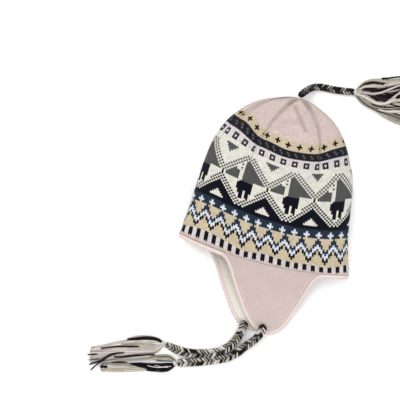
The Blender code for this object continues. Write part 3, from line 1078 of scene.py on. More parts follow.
@dataclass
class KnitBody:
    """The knitted shell of the hat, stitch by stitch."""

    form: HatForm
    chart: StitchChart
    stitches: int = 173
    llama_x: float = 0.0181
    llama_up: float = 0.26
    seam: float = 0.53
    least_stitch: float = 0.00288
    collapsed: float = 0.10
    draw_width: float = 2.4
    draw_steps: int = 160
    least_round: float = 0.16
    tooth: float = 0.45
    groove: float = 0.00022
    plain_edge: float = -0.0941
    fold_shadow: float = 0.0008
    dart_fade: float = 0.16
    upper_share: float = 0.40
    # the lowest relief of drawn-in dart stitches; low relief flattens them and darkens their colour as
    # painted shade
    least_relief: float = 0.42
    wall_share: float = 0.8
    dyeing: float = 0.05
    fine_rings: int = 400

    def row_ups(self) -> tuple[np.ndarray, list]:
        """Heights of the row lines, and for each row its band and its number in it."""
        levels = [self.plain_edge]
        rows = []
        for band in BANDS:
            bottom = levels[-1]
            for k in range(band.rows):
                levels.append(bottom + (band.top - bottom) * (k + 1) / band.rows)
                rows.append((band, k))
        ups = self.form.up_at(np.array(levels))
        ups[0] = 0.0
        ups[-1] = 1.0
        return ups, rows

    def first_turn(self) -> float:
        """How far round the middle of a llama lies."""
        points, way, _ = self.form.outline(self.llama_up)
        half = len(way) // 2
        return float(np.interp(self.llama_x, points[: half + 1, 0], way[: half + 1]))

    def first_column(self, start: float) -> int:
        """The stitch just past the seam, counted from the middle of a llama."""
        return round((self.seam - 1 - start) * self.stitches)

    def column_turns(self, up: float, start: float) -> np.ndarray:
        """Where the half stitches of a row lie.

        Between darts a stitch keeps its width, and at the darts the rest are drawn in.

        Args:
            up: share of the height.
            start: how far round the middle of a llama lies.

        Returns:
            Shares of the way round, one for each half stitch and one more.
        """
        length = self.form.outline(up)[2]
        darts = list(self.form.darts) + [self.form.darts[0] + 1]
        known_columns = [darts[0] * self.stitches]
        known_turns = [darts[0]]
        share = min(1.0, max(self.least_round, length / (self.stitches * self.least_stitch)))
        for low, high in zip(darts, darts[1:]):
            count = (high - low) * self.stitches
            fine = np.linspace(0, count, self.draw_steps + 1)
            away = np.minimum(fine, count - fine)
            least, most = -2.0, count / 2
            for _ in range(30):
                half_drawn = (least + most) / 2
                open_share = np.clip((away - half_drawn) / self.draw_width + 0.5, 0, 1)
                weight = self.collapsed + (1 - self.collapsed) * open_share
                if weight.mean() > share:
                    least = half_drawn
                else:
                    most = half_drawn
            total = np.cumsum((weight[1:] + weight[:-1]) / 2)
            known_columns += (low * self.stitches + fine[1:]).tolist()
            known_turns += (low + (high - low) * total / total[-1]).tolist()
        halves = np.arange(2 * self.stitches + 1) / 2 - 0.5 + self.first_column(start)
        columns = start * self.stitches + halves
        laps = np.floor((columns - known_columns[0]) / self.stitches)
        return np.interp(columns - laps * self.stitches, known_columns, known_turns) + laps

    def points(self, ups: np.ndarray, start: float) -> tuple[np.ndarray, np.ndarray]:
        """The knit's outer face before its relief.

        Args:
            ups: row lines.
            start: how far round the middle of a llama lies.

        Returns:
            (rows, half stitches, 3) points, and the depth of the darts at each.
        """
        grid = []
        depths = []
        rings = [self.form.outline(level) for level in np.linspace(0, 1, self.fine_rings + 1)]
        for up in ups:
            turns = self.column_turns(up, start)
            length = self.form.outline(up)[2]
            points = self.form.ring(up, turns)
            lifted = np.clip(up + self.form.lie(up, points), 0, 1) * self.fine_rings
            low = np.clip(lifted.astype(int), 0, self.fine_rings - 1)
            for number in np.unique(low):
                chosen = low == number
                share = (lifted[chosen] - number)[:, None]
                places = np.mod(turns[chosen], 1.0)
                pair = rings[number : number + 2]
                below, above = (straight_line(way, ring, places) for ring, way, _ in pair)
                points[chosen] = below * (1 - share) + above * share
            grid.append(points)
            gaps = [np.abs((turns - dart + 0.5) % 1.0 - 0.5) for dart in self.form.darts]
            away = np.min(gaps, axis=0) * length
            depth = self.form.dart_depth * self.form.section(up).dart
            fade = min(1.0, length / self.dart_fade)
            depths.append(depth * np.exp(-((away / self.form.dart_width) ** 2)) * fade)
        return np.array(grid), np.array(depths)

    def crease_depths(self, points: np.ndarray) -> np.ndarray:
        """How deep the crown's fold lines are at each point of the upper layer."""
        depth = np.zeros(points.shape[:2])
        upper = points[:, :, 2] > self.upper_share * self.form.loft
        for crease in CREASES:
            line = np.array(crease.points)
            best = np.full(points.shape[:2], 1.0)
            for a, b in zip(line, line[1:]):
                t = np.clip(((points[:, :, :2] - a) @ (b - a)) / ((b - a) @ (b - a)), 0, 1)
                near = a + t[..., None] * (b - a)
                best = np.minimum(best, np.linalg.norm(points[:, :, :2] - near, axis=2))
            depth += np.where(upper, crease.depth * np.exp(-((best / crease.width) ** 2)), 0)
        return depth

    def colours(self, rows: list, first: int) -> np.ndarray:
        """The yarn of each half stitch, with the small differences of wool.

        Args:
            rows: band and number of each row.
            first: the first stitch, counted from the middle of a llama.

        Returns:
            (rows, half stitches, 3) linear colours.
        """
        chance = np.random.default_rng(SEED)
        cells = np.zeros((len(rows), 2 * self.stitches, 3))
        for line, (band, number) in enumerate(rows):
            for column in range(self.stitches):
                yarn = self.chart.yarn(band, number, column + first)
                colour = yarn.linear() * chance.normal(1.0, self.dyeing)
                cells[line, 2 * column : 2 * column + 2] = colour
        return np.clip(cells, 0, 1)

    def build(self, material: bpy.types.Material) -> bpy.types.Object:
        """Knits the body.

        Args:
            material: its wool.

        Returns:
            The piece.
        """
        ups, rows = self.row_ups()
        start = self.first_turn()
        points, dart_depths = self.points(ups, start)
        drop = np.zeros_like(points)
        drop[1:, 1::2] = (points[:-1, 1::2] - points[1:, 1::2]) * self.tooth
        drop[-1] = 0
        creases = self.crease_depths(points)
        sink = dart_depths + creases
        ahead = np.roll(points[:, :-1], -1, axis=1) - points[:, :-1]
        behind = points[:, :-1] - np.roll(points[:, :-1], 1, axis=1)
        stitch_widths = np.linalg.norm(ahead, axis=2) + np.linalg.norm(behind, axis=2)
        stitch_widths = np.concatenate([stitch_widths, stitch_widths[:, :1]], axis=1)
        sink[:, 0::2] += (self.groove * np.clip(stitch_widths / self.least_stitch, 0, 1) ** 2)[:, 0::2]
        points = gathered(points + drop - grid_normals(points, True) * sink[..., None])
        lines, halves = points.shape[:2]
        uv = np.stack(np.meshgrid(np.arange(halves) / 2, np.arange(lines)), axis=-1)
        piece = cloth_grid("knit_shell", points, uv)
        paint_cells(piece, self.colours(rows + [rows[-1]], self.first_column(start)))
        # low relief where stitches are drawn in at the darts and in the crown's creases: flatter stitches and
        # painted shade there
        relief = np.clip((stitch_widths / self.least_stitch - 0.3) / 0.5, self.least_relief, 1)
        relief *= np.exp(-creases / self.fold_shadow)
        relief[:, -1] = relief[:, 0]
        paint_relief_and_shade(piece, np.concatenate([relief, relief[-1:]]))
        close_doubles(piece)
        thicken(piece, self.form.knit_wall * self.wall_share)
        finish_piece(piece, material)
        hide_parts("knit_body")
        return piece


@dataclass
class EarFlap:
    """One ear flap with its fleece."""

    form: HatForm
    near: bool
    columns: int = 90
    rows: int = 70
    stitch: float = 0.0032
    row_height: float = 0.0027
    seam_inset: float = 0.0042
    seam_width: float = 0.0009
    seam_depth: float = 0.0003
    wale_lean: float = 0.10
    border_light: float = 1.06
    lining_columns: int = 60
    lining_rows: int = 46
    flat_area: float = 0.0098

    def face(self, columns: int, rows: int) -> np.ndarray:
        """The outer face.

        Args:
            columns: cells across.
            rows: cells down.

        Returns:
            (rows + 1, columns + 1, 3), from the tip up to the hem.
        """
        across = np.linspace(-1, 1, columns + 1)
        downs = 1 - np.linspace(0, 1, rows + 1) ** FLAP_CROWDING
        return np.array([self.form.flap_point(self.near, across, down) for down in downs])

    def build(self, knit: bpy.types.Material, fleece: bpy.types.Material) -> list:
        """Makes the knit face and the lining.

        Args:
            knit: the wool.
            fleece: the pile.

        Returns:
            Both pieces.
        """
        side = "near" if self.near else "far"
        points = self.face(self.columns, self.rows)
        to_sides = [np.linalg.norm(points - end, axis=2) for end in (points[:, :1], points[:, -1:])]
        to_edge = np.minimum(*to_sides)
        down = points[:, :, 1].max() - points[:, :, 1]
        across = (points[:, :, 0] + self.wale_lean * down) / self.stitch
        uv = np.stack([across, points[:, :, 1] / self.row_height], axis=-1)
        sink = self.seam_depth * np.exp(-(((to_edge - self.seam_inset) / self.seam_width) ** 2))
        points = points + np.array([0, 0, -1.0 if self.near else 1.0]) * sink[..., None]
        if not self.near:
            points = points[:, ::-1]
            uv = uv[:, ::-1]
            to_edge = to_edge[:, ::-1]
        knit_piece = cloth_grid(f"{side}_flap_knit", points, uv)
        cell_edge = (to_edge[:-1, :-1] + to_edge[1:, 1:]) / 2
        light = np.where(cell_edge < self.seam_inset, self.border_light, 1.0)[..., None]
        paint_cells(knit_piece, np.clip(Yarn.PINK.linear() * light, 0, 1))
        thicken(knit_piece, self.form.knit_wall)
        finish_piece(knit_piece, knit)
        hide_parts(f"{side}_flap")
        back = self.form.knit_wall + self.form.gap
        lining = self.face(self.lining_columns, self.lining_rows)
        if not self.near:
            lining = lining[:, ::-1]
        lining = lining - grid_normals(lining, False) * back
        chance = np.random.default_rng(SEED + 1)
        lining += grid_normals(lining, False) * chance.normal(0, FLEECE_UNEVEN, lining.shape[:2])[..., None]
        fleece_piece = cloth_grid(f"{side}_flap_fleece", lining, lining[:, :, :2] / FLEECE_TILE)
        thicken(fleece_piece, self.form.fleece_wall)
        finish_piece(fleece_piece, fleece)
        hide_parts(f"{side}_flap_lining")
        return [knit_piece, fleece_piece]


@dataclass
class BodyLining:
    """The fleece inside the body."""

    form: HatForm
    columns: int = 150
    rows: int = 60
    setback: float = 0.0015
    clearance: float = 0.0010
    top: float = 0.985

    def build(self, fleece: bpy.types.Material) -> bpy.types.Object:
        """Makes the lining.

        Args:
            fleece: the pile.

        Returns:
            The piece.
        """
        turns = np.linspace(0, 1, self.columns + 1)
        ups = np.linspace(self.setback / self.form.body_height, self.top, self.rows + 1)
        points = np.array([self.form.ring(up, turns) for up in ups])
        rest = self.form.knit_wall + self.clearance
        depth = np.array([rest + self.form.dart_depth * self.form.section(up).dart for up in ups])
        chance = np.random.default_rng(SEED + 2)
        depth = depth[:, None] + chance.normal(0, FLEECE_UNEVEN, points.shape[:2])
        points = gathered(points - grid_normals(points, True) * depth[..., None])
        piece = cloth_grid("body_fleece", points, points[:, :, :2] / FLEECE_TILE)
        close_doubles(piece)
        thicken(piece, self.form.fleece_wall)
        finish_piece(piece, fleece)
        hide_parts("body_lining")
        return piece


@dataclass
class CrochetEdging:
    """The crocheted trim along the hem and round both flaps, as one scalloped band."""

    form: HatForm
    width: float = 0.0074
    thickness: float = 0.0047
    pitch: float = 0.0045
    lap: float = 0.0013
    stations_per_scallop: int = 8
    sides: int = 12
    edge_points: int = 120
    smoothing: int = 6
    chain_height: float = 0.00035
    chain_angle: float = 2.2

    def edge(self) -> tuple[np.ndarray, np.ndarray]:
        """The edge of the knit, once round.

        Returns:
            Its points and the cloth's outer normal at each.
        """
        form = self.form
        high = np.array([0.0, 0.0, 1.0])
        downs = np.linspace(0, 1, self.edge_points) ** FLAP_CROWDING
        outline = form.outline(0.0)[0]
        ahead = np.roll(outline, -1, axis=0) - np.roll(outline, 1, axis=0)
        out = unit(np.stack([-ahead[:, 2], np.zeros(len(ahead)), ahead[:, 0]], axis=1))

        def hem_turns(near: bool) -> list:
            """How far round the hem a flap begins and ends."""
            middle = form.near_flap_middle if near else form.far_flap_middle
            return [form.hem_turn(middle + side * form.flap_width / 2, near) for side in (-1, 1)]

        def hem_run(start: float, end: float) -> tuple[np.ndarray, np.ndarray]:
            """The hem from one flap to the next, with its outer normals."""
            points = form.ring(0.0, np.linspace(start, end, self.edge_points)[1:-1])
            apart = points[:, None] - outline[None]
            gaps = np.hypot(apart[..., 0], apart[..., 2])
            return points, out[np.argmin(gaps, axis=1)]

        def flap_side(near: bool, side: float, order: int) -> tuple[np.ndarray, np.ndarray]:
            """One side of a flap, down (1) or up (-1), with its outer normals."""
            points = np.array([form.flap_point(near, np.array([side]), down)[0] for down in downs[::order]])
            return points, np.tile(high if near else -high, (len(points), 1))

        near_front, near_back = hem_turns(True)
        far_front, far_back = hem_turns(False)
        runs = [
            hem_run(far_front, near_front + 1),
            flap_side(True, -1.0, 1),
            flap_side(True, 1.0, -1),
            hem_run(near_back, far_back),
            flap_side(False, 1.0, 1),
            flap_side(False, -1.0, -1),
        ]
        return np.concatenate([run[0] for run in runs]), np.concatenate([run[1] for run in runs])

    def build(self, material: bpy.types.Material) -> bpy.types.Object:
        """Crochets the band.

        Args:
            material: its wool.

        Returns:
            The piece.
        """
        points, normals = self.edge()
        loop = np.concatenate([points, points[:1]])
        steps = np.linalg.norm(np.diff(loop, axis=0), axis=1)
        keep = np.concatenate([[True], steps[:-1] > 1e-5])
        points, normals = points[keep], normals[keep]
        loop = np.concatenate([points, points[:1]])
        normals = np.concatenate([normals, normals[:1]])
        way = ways_along(loop)
        count = round(way[-1] / self.pitch) * self.stations_per_scallop
        places = np.linspace(0, way[-1], count + 1)
        path = straight_line(way, loop, places)[:-1]
        normal = straight_line(way, normals, places)[:-1]
        for _ in range(self.smoothing):
            normal = (np.roll(normal, 1, axis=0) + normal + np.roll(normal, -1, axis=0)) / 3
            path = (np.roll(path, 1, axis=0) + 2 * path + np.roll(path, -1, axis=0)) / 4
        along = unit(np.roll(path, -2, axis=0) - np.roll(path, 2, axis=0))
        outward = unit(np.cross(along, normal))
        normal = unit(np.cross(outward, along))
        phase = np.arange(count) / self.stations_per_scallop
        bulge = np.abs(np.sin(math.pi * phase)) ** 0.8
        angle = np.linspace(0, 2 * math.pi, self.sides + 1)
        swell = 0.76 + 0.34 * bulge[:, None] * np.clip(np.cos(angle)[None], 0, 1)
        reach = self.width / 2 * (1 + np.cos(angle)[None] * swell) - self.lap
        squared = np.sign(np.sin(angle)) * np.abs(np.sin(angle)) ** 0.7
        lift = self.thickness / 2 * squared[None] * (0.84 + 0.16 * bulge[:, None])
        top = np.exp(-(((angle[None] - self.chain_angle) / 0.5) ** 2))
        chain = self.chain_height * np.cos(2 * math.pi * (phase[:, None] + 0.25)) * top
        centre = path - normal * self.form.sandwich / 2
        rings = centre[:, None] + outward[:, None] * reach[..., None]
        rings += normal[:, None] * (lift + chain)[..., None]
        rings = np.concatenate([rings, rings[:1]])[:, ::-1]
        stitches = np.arange(count + 1) / self.stations_per_scallop * 2
        uv = np.stack(np.meshgrid(angle / (2 * math.pi) * 4, stitches), axis=-1)
        piece = cloth_grid("crochet_trim", rings, uv)
        paint_cells(piece, np.tile(Yarn.EDGE.linear(), (count, self.sides, 1)))
        close_doubles(piece)
        finish_piece(piece, material)
        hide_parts("crochet_edging")
        return piece


@dataclass
class Plait:
    """A flat plait: strands of parallel yarns that cross at its middle, so that it shows a herringbone."""

    name: str
    route: tuple
    node: str
    width: float = 0.0124
    thickness: float = 0.0084
    pitch: float = 0.0215
    yarns: int = 9
    yarn_radius: float = 0.00112
    unevenness: float = 0.0002
    stray_share: float = 0.16
    step: float = 0.0009
    told_step: float = 0.004
    strand_sides: int = 6
    dyeing: float = 0.12
    begin_share: float = 0.6
    begin_way: float = 0.010
    end_share: float = 0.85
    end_way: float = 0.004
    seed: int = 1
    tones: tuple = ()

    def line(self, spacing: float) -> np.ndarray:
        """Points of the smooth route, about spacing apart."""
        route = np.array(self.route)
        length = ways_along(route)[-1]
        return smooth_line(route, np.linspace(0.0, length, max(4, round(length / spacing)) + 1))

    def build(self, material: bpy.types.Material) -> bpy.types.Object:
        """Plaits the cord.

        Args:
            material: its wool.

        Returns:
            The piece.
        """
        line = self.line(self.step)
        way = ways_along(line)
        along = unit(np.gradient(line, axis=0))
        side = unit(np.cross(np.array([0.0, 0.0, 1.0]), along))
        over = unit(np.cross(along, side))
        left = np.clip((way[-1] - way) / self.end_way, 0, 1)
        begin = np.clip(self.begin_share + way / self.begin_way, self.begin_share, 1)
        taper = begin * (self.end_share + (1 - self.end_share) * left)
        swing = self.width / 2 - self.yarn_radius
        lift = self.thickness / 2 - self.yarn_radius
        chance = np.random.default_rng(SEED + self.seed)
        paths = []
        radii = []
        colours = []
        for number in range(self.yarns):
            turn = way / self.pitch + number / self.yarns
            angle = 2 * math.pi * turn
            across = swing * np.sin(angle) * (1 - 0.10 * np.sin(angle) ** 2) / 0.90 * taper
            up = lift * np.sin(2 * angle) * taper
            path = line + side * across[:, None] + over * up[:, None]
            path += over * (self.unevenness * chance.normal())
            path[:, 2] = np.maximum(path[:, 2], self.yarn_radius * 1.02)
            paths.append(path)
            radii.append(self.yarn_radius * chance.uniform(0.92, 1.08) * (0.75 + 0.25 * taper))
            runs = np.floor(2 * turn + 0.5).astype(int)
            dark = (np.arange(runs.max() + 1) + number) % 2 == 0
            dark ^= chance.uniform(size=len(dark)) < self.stray_share
            half = len(self.tones) // 2
            picks = chance.integers(0, half, len(dark)) + np.where(dark, 0, half)
            shades = chance.normal(1.0, self.dyeing, runs.max() + 1)
            run_tones = np.array([self.tones[pick].linear() * shade for pick, shade in zip(picks, shades)])
            colours.append(np.clip(run_tones[runs], 0, 1))
        piece = strands_mesh(self.name, paths, radii, colours, self.strand_sides)
        finish_piece(piece, material)
        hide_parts(self.node)
        return piece

    def declare(self, piece: bpy.types.Object, tassel: bpy.types.Object) -> None:
        """Takes no step: the plait and its tassel are left as they are.

        Args:
            piece: the plait; not used.
            tassel: the tassel on it; not used.
        """


class Lock(NamedTuple):
    """A lock that lies on a tassel: its way in millimetres, its width and rise, and its yarns."""

    way: tuple
    width: float
    rise: float
    yarn: Yarn
    accent: Yarn


class TasselShape(NamedTuple):
    """What one tassel looks like from above, in millimetres: its two sides and its locks."""

    upper: tuple
    lower: tuple
    ground: tuple
    locks: tuple


FAR_TASSEL = TasselShape(
    upper=(
        (-113, -244), (-118, -241), (-127, -239.5), (-140, -241),
        (-150, -243.5), (-160, -248.5), (-170, -254),
        (-180, -259), (-190, -264), (-200, -269.5), (-210, -273.5), (-219, -277.5),
    ),
    lower=(
        (-113, -249), (-114, -256), (-118, -262.5), (-126, -268),
        (-140, -274), (-150, -277.5), (-165, -284),
        (-180, -290), (-200, -298.5), (-214, -304.5),
    ),
    ground=(Yarn.OAT, Yarn.OAT, Yarn.ROSE, Yarn.CREAM),
    locks=(
        Lock(
            ((-114, -246), (-122, -243), (-133, -243.5), (-145, -246), (-156, -250), (-167, -253.5)),
            4.6, 7.6, Yarn.BLACK, Yarn.BROWN,
        ),
        Lock(
            ((-114, -247), (-121, -246), (-128, -246.3), (-135, -247.6)),
            1.2, 9.2, Yarn.CREAM, Yarn.CREAM,
        ),
        Lock(((-115, -248.5), (-122, -248.6), (-129, -249.4)), 0.9, 9.0, Yarn.SNOW, Yarn.CREAM),
        Lock(
            ((-120, -241.5), (-135, -240.8), (-150, -244.6), (-166, -252)),
            2.0, 6.5, Yarn.OLIVE, Yarn.ASH,
        ),
        Lock(
            ((-146, -259.5), (-153, -260.6), (-163, -263.6), (-176, -267), (-188, -270.5), (-202, -276)),
            2.4, 7.6, Yarn.BROWN, Yarn.BLACK,
        ),
        Lock(((-124, -251), (-140, -255), (-158, -258), (-176, -262.5)), 2.4, 6.8, Yarn.OLIVE, Yarn.OAT),
        Lock(
            ((-120, -266), (-128, -267.5), (-140, -271.5), (-152, -275), (-166, -279.5), (-180, -284)),
            2.8, 7.4, Yarn.BROWN, Yarn.BLACK,
        ),
        Lock(
            ((-166, -273.5), (-176, -276.6), (-184, -281), (-192, -288), (-202, -297), (-213, -304)),
            2.2, 8.2, Yarn.BLACK, Yarn.CHARCOAL,
        ),
        Lock(
            ((-178, -278), (-187, -284), (-196, -294), (-204, -304), (-209.5, -313)),
            2.6, 9.0, Yarn.CHARCOAL, Yarn.BLACK,
        ),
        Lock(((-204, -284.5), (-211, -287.5), (-219, -290)), 1.8, 7.2, Yarn.BROWN, Yarn.ASH),
        Lock(((-199, -291), (-207, -294.5), (-217, -297.5)), 1.6, 7.2, Yarn.ASH, Yarn.BROWN),
        Lock(
            ((-120, -259), (-140, -266), (-165, -272), (-195, -281), (-218, -287)),
            3.2, 6.6, Yarn.ROSE, Yarn.CREAM,
        ),
    ),
)
NEAR_TASSEL = TasselShape(
    upper=(
        (-88, -268), (-92, -263.5), (-99, -260.5), (-108, -261.5),
        (-118, -265.5), (-126, -270), (-140, -275.5),
        (-160, -283), (-180, -291), (-197, -299),
    ),
    lower=(
        (-88, -273), (-90, -279), (-94, -284.5), (-100, -288),
        (-110, -290.5), (-122, -292.8), (-135, -296),
        (-150, -300.5), (-165, -304.5), (-180, -308.5), (-195, -311.5),
    ),
    ground=(Yarn.OAT, Yarn.CREAM, Yarn.OLIVE, Yarn.OAT),
    locks=(
        Lock(
            ((-89, -272), (-94, -278.5), (-104, -282.5), (-118, -284.5), (-134, -286), (-154, -287.5)),
            6.6, 7.4, Yarn.NAVY, Yarn.BLACK,
        ),
        Lock(
            ((-89, -271.5), (-98, -275), (-110, -278.5), (-126, -282), (-148, -285)),
            3.6, 8.0, Yarn.BLACK, Yarn.NAVY,
        ),
        Lock(
            ((-90, -274), (-95, -282), (-103, -286.2), (-114, -288.8), (-128, -290.5)),
            3.2, 7.0, Yarn.BLACK, Yarn.BROWN,
        ),
        Lock(
            ((-89, -269.5), (-99, -271.5), (-112, -275), (-128, -278.6), (-145, -282.4), (-160, -287)),
            1.5, 9.4, Yarn.SNOW, Yarn.CREAM,
        ),
        Lock(((-97, -279), (-112, -282.4), (-128, -284)), 0.8, 9.6, Yarn.CREAM, Yarn.SNOW),
        Lock(((-93, -276.5), (-104, -279.8), (-118, -281)), 0.8, 9.6, Yarn.ROSE, Yarn.SNOW),
        Lock(((-90, -268), (-100, -266.5), (-112, -268.5), (-124, -272)), 4.2, 7.0, Yarn.OLIVE, Yarn.BROWN),
        Lock(((-90, -267), (-98, -264), (-108, -265.2), (-119, -269)), 1.2, 8.6, Yarn.BROWN, Yarn.OLIVE),
        Lock(((-92, -269.5), (-104, -270.6), (-118, -273.6)), 1.2, 8.6, Yarn.BROWN, Yarn.ASH),
        Lock(((-148, -289.5), (-162, -291), (-176, -294), (-191, -298)), 2.8, 7.2, Yarn.ASH, Yarn.BROWN),
        Lock(((-150, -286.5), (-166, -288.5), (-182, -293)), 2.0, 7.4, Yarn.BROWN, Yarn.ASH),
        Lock(((-160, -300), (-176, -302.5), (-195.5, -304)), 1.6, 7.2, Yarn.OLIVE, Yarn.BROWN),
        Lock(((-186, -300.5), (-196, -303)), 3.4, 7.8, Yarn.BLACK, Yarn.BLACK),
    ),
)
TOP_TASSEL = TasselShape(
    upper=(
        (76, 190), (78, 195), (82, 202), (88, 208.5), (95, 213),
        (103, 216), (112, 218.5), (122, 221.5), (132, 225.5),
        (145, 229.5), (165, 233.5), (190, 236),
    ),
    lower=(
        (76, 185), (82, 179), (90, 174), (97, 171), (105, 169.3),
        (113, 167.5), (119, 164.5), (125, 161.8), (133, 160),
        (145, 157.5), (165, 156), (190, 155),
    ),
    ground=(Yarn.BROWN, Yarn.OAT, Yarn.BLACK, Yarn.ASH, Yarn.CREAM),
    locks=(
        Lock(
            ((77, 191), (83, 202), (92, 210), (104, 214), (118, 216), (134, 221), (160, 229), (188, 233)),
            4.4, 7.0, Yarn.OLIVE, Yarn.CREAM,
        ),
        Lock(
            ((108, 217), (118, 220), (130, 225), (146, 229.5), (170, 234)),
            2.8, 8.0, Yarn.BLACK, Yarn.BROWN,
        ),
        Lock(
            ((79, 195), (87, 205), (99, 209.5), (112, 208.6), (120, 207)),
            4.4, 7.4, Yarn.BROWN, Yarn.BLACK,
        ),
        Lock(
            (
                (78, 193), (88, 199.5), (100, 202.5), (112, 206.5),
                (124, 212), (136, 217), (156, 224), (186, 229),
            ),
            4.8, 8.0, Yarn.OAT, Yarn.OLIVE,
        ),
        Lock(
            ((84, 195), (95, 198), (106, 200.2), (118, 202), (132, 209), (150, 216), (180, 221)),
            5.6, 7.6, Yarn.BLACK, Yarn.BROWN,
        ),
        Lock(
            ((78, 189.5), (92, 190.5), (104, 193), (114, 197.5), (125, 205), (137, 213.5), (152, 219)),
            2.6, 9.4, Yarn.ROSE, Yarn.OAT,
        ),
        Lock(
            ((104, 186), (116, 190.5), (130, 196), (146, 205), (168, 211), (188, 214)),
            11.0, 7.0, Yarn.BLACK, Yarn.NAVY,
        ),
        Lock(((98, 184), (110, 188), (124, 188), (134, 191)), 7.0, 7.8, Yarn.BROWN, Yarn.BLACK),
        Lock(
            ((123, 184), (130, 191), (137, 200), (145, 208.5), (158, 214)),
            1.9, 9.8, Yarn.ROSE, Yarn.SNOW,
        ),
        Lock(
            ((78, 187.5), (90, 185), (101, 181.6), (112, 179.6), (122, 181.6), (130, 187), (137, 194)),
            4.4, 9.0, Yarn.ROSE, Yarn.CREAM,
        ),
        Lock(((79, 187), (88, 186.4), (96, 183.8), (104, 181.2)), 2.4, 9.8, Yarn.BROWN, Yarn.BLACK),
        Lock(((88, 187.6), (98, 184.6), (107, 181.6)), 0.8, 10.6, Yarn.CREAM, Yarn.CREAM),
        Lock(
            (
                (78, 184.5), (86, 178.5), (96, 173.6), (107, 170.6),
                (118, 168.6), (132, 168), (150, 165), (180, 163),
            ),
            3.4, 7.4, Yarn.CHARCOAL, Yarn.OLIVE,
        ),
        Lock(
            ((84, 182), (96, 177), (110, 174.8), (126, 176), (142, 181), (160, 184), (188, 185)),
            4.4, 7.2, Yarn.BROWN, Yarn.OLIVE,
        ),
        Lock(((82, 183.5), (92, 178.8), (104, 175.6)), 1.4, 8.6, Yarn.ASH, Yarn.OLIVE),
        Lock(
            ((114, 171.2), (128, 171.2), (142, 174.5), (158, 178), (186, 178)),
            3.2, 8.4, Yarn.CREAM, Yarn.ROSE,
        ),
        Lock(
            ((118, 166), (127, 163.2), (138, 160.6), (152, 158.8), (186, 158)),
            3.4, 6.6, Yarn.OLIVE, Yarn.CREAM,
        ),
        Lock(((128, 187), (142, 192), (160, 196), (189, 198)), 5.0, 8.0, Yarn.OAT, Yarn.ROSE),
        Lock(((140, 201), (160, 205), (189, 206)), 3.6, 8.4, Yarn.CREAM, Yarn.OLIVE),
    ),
)


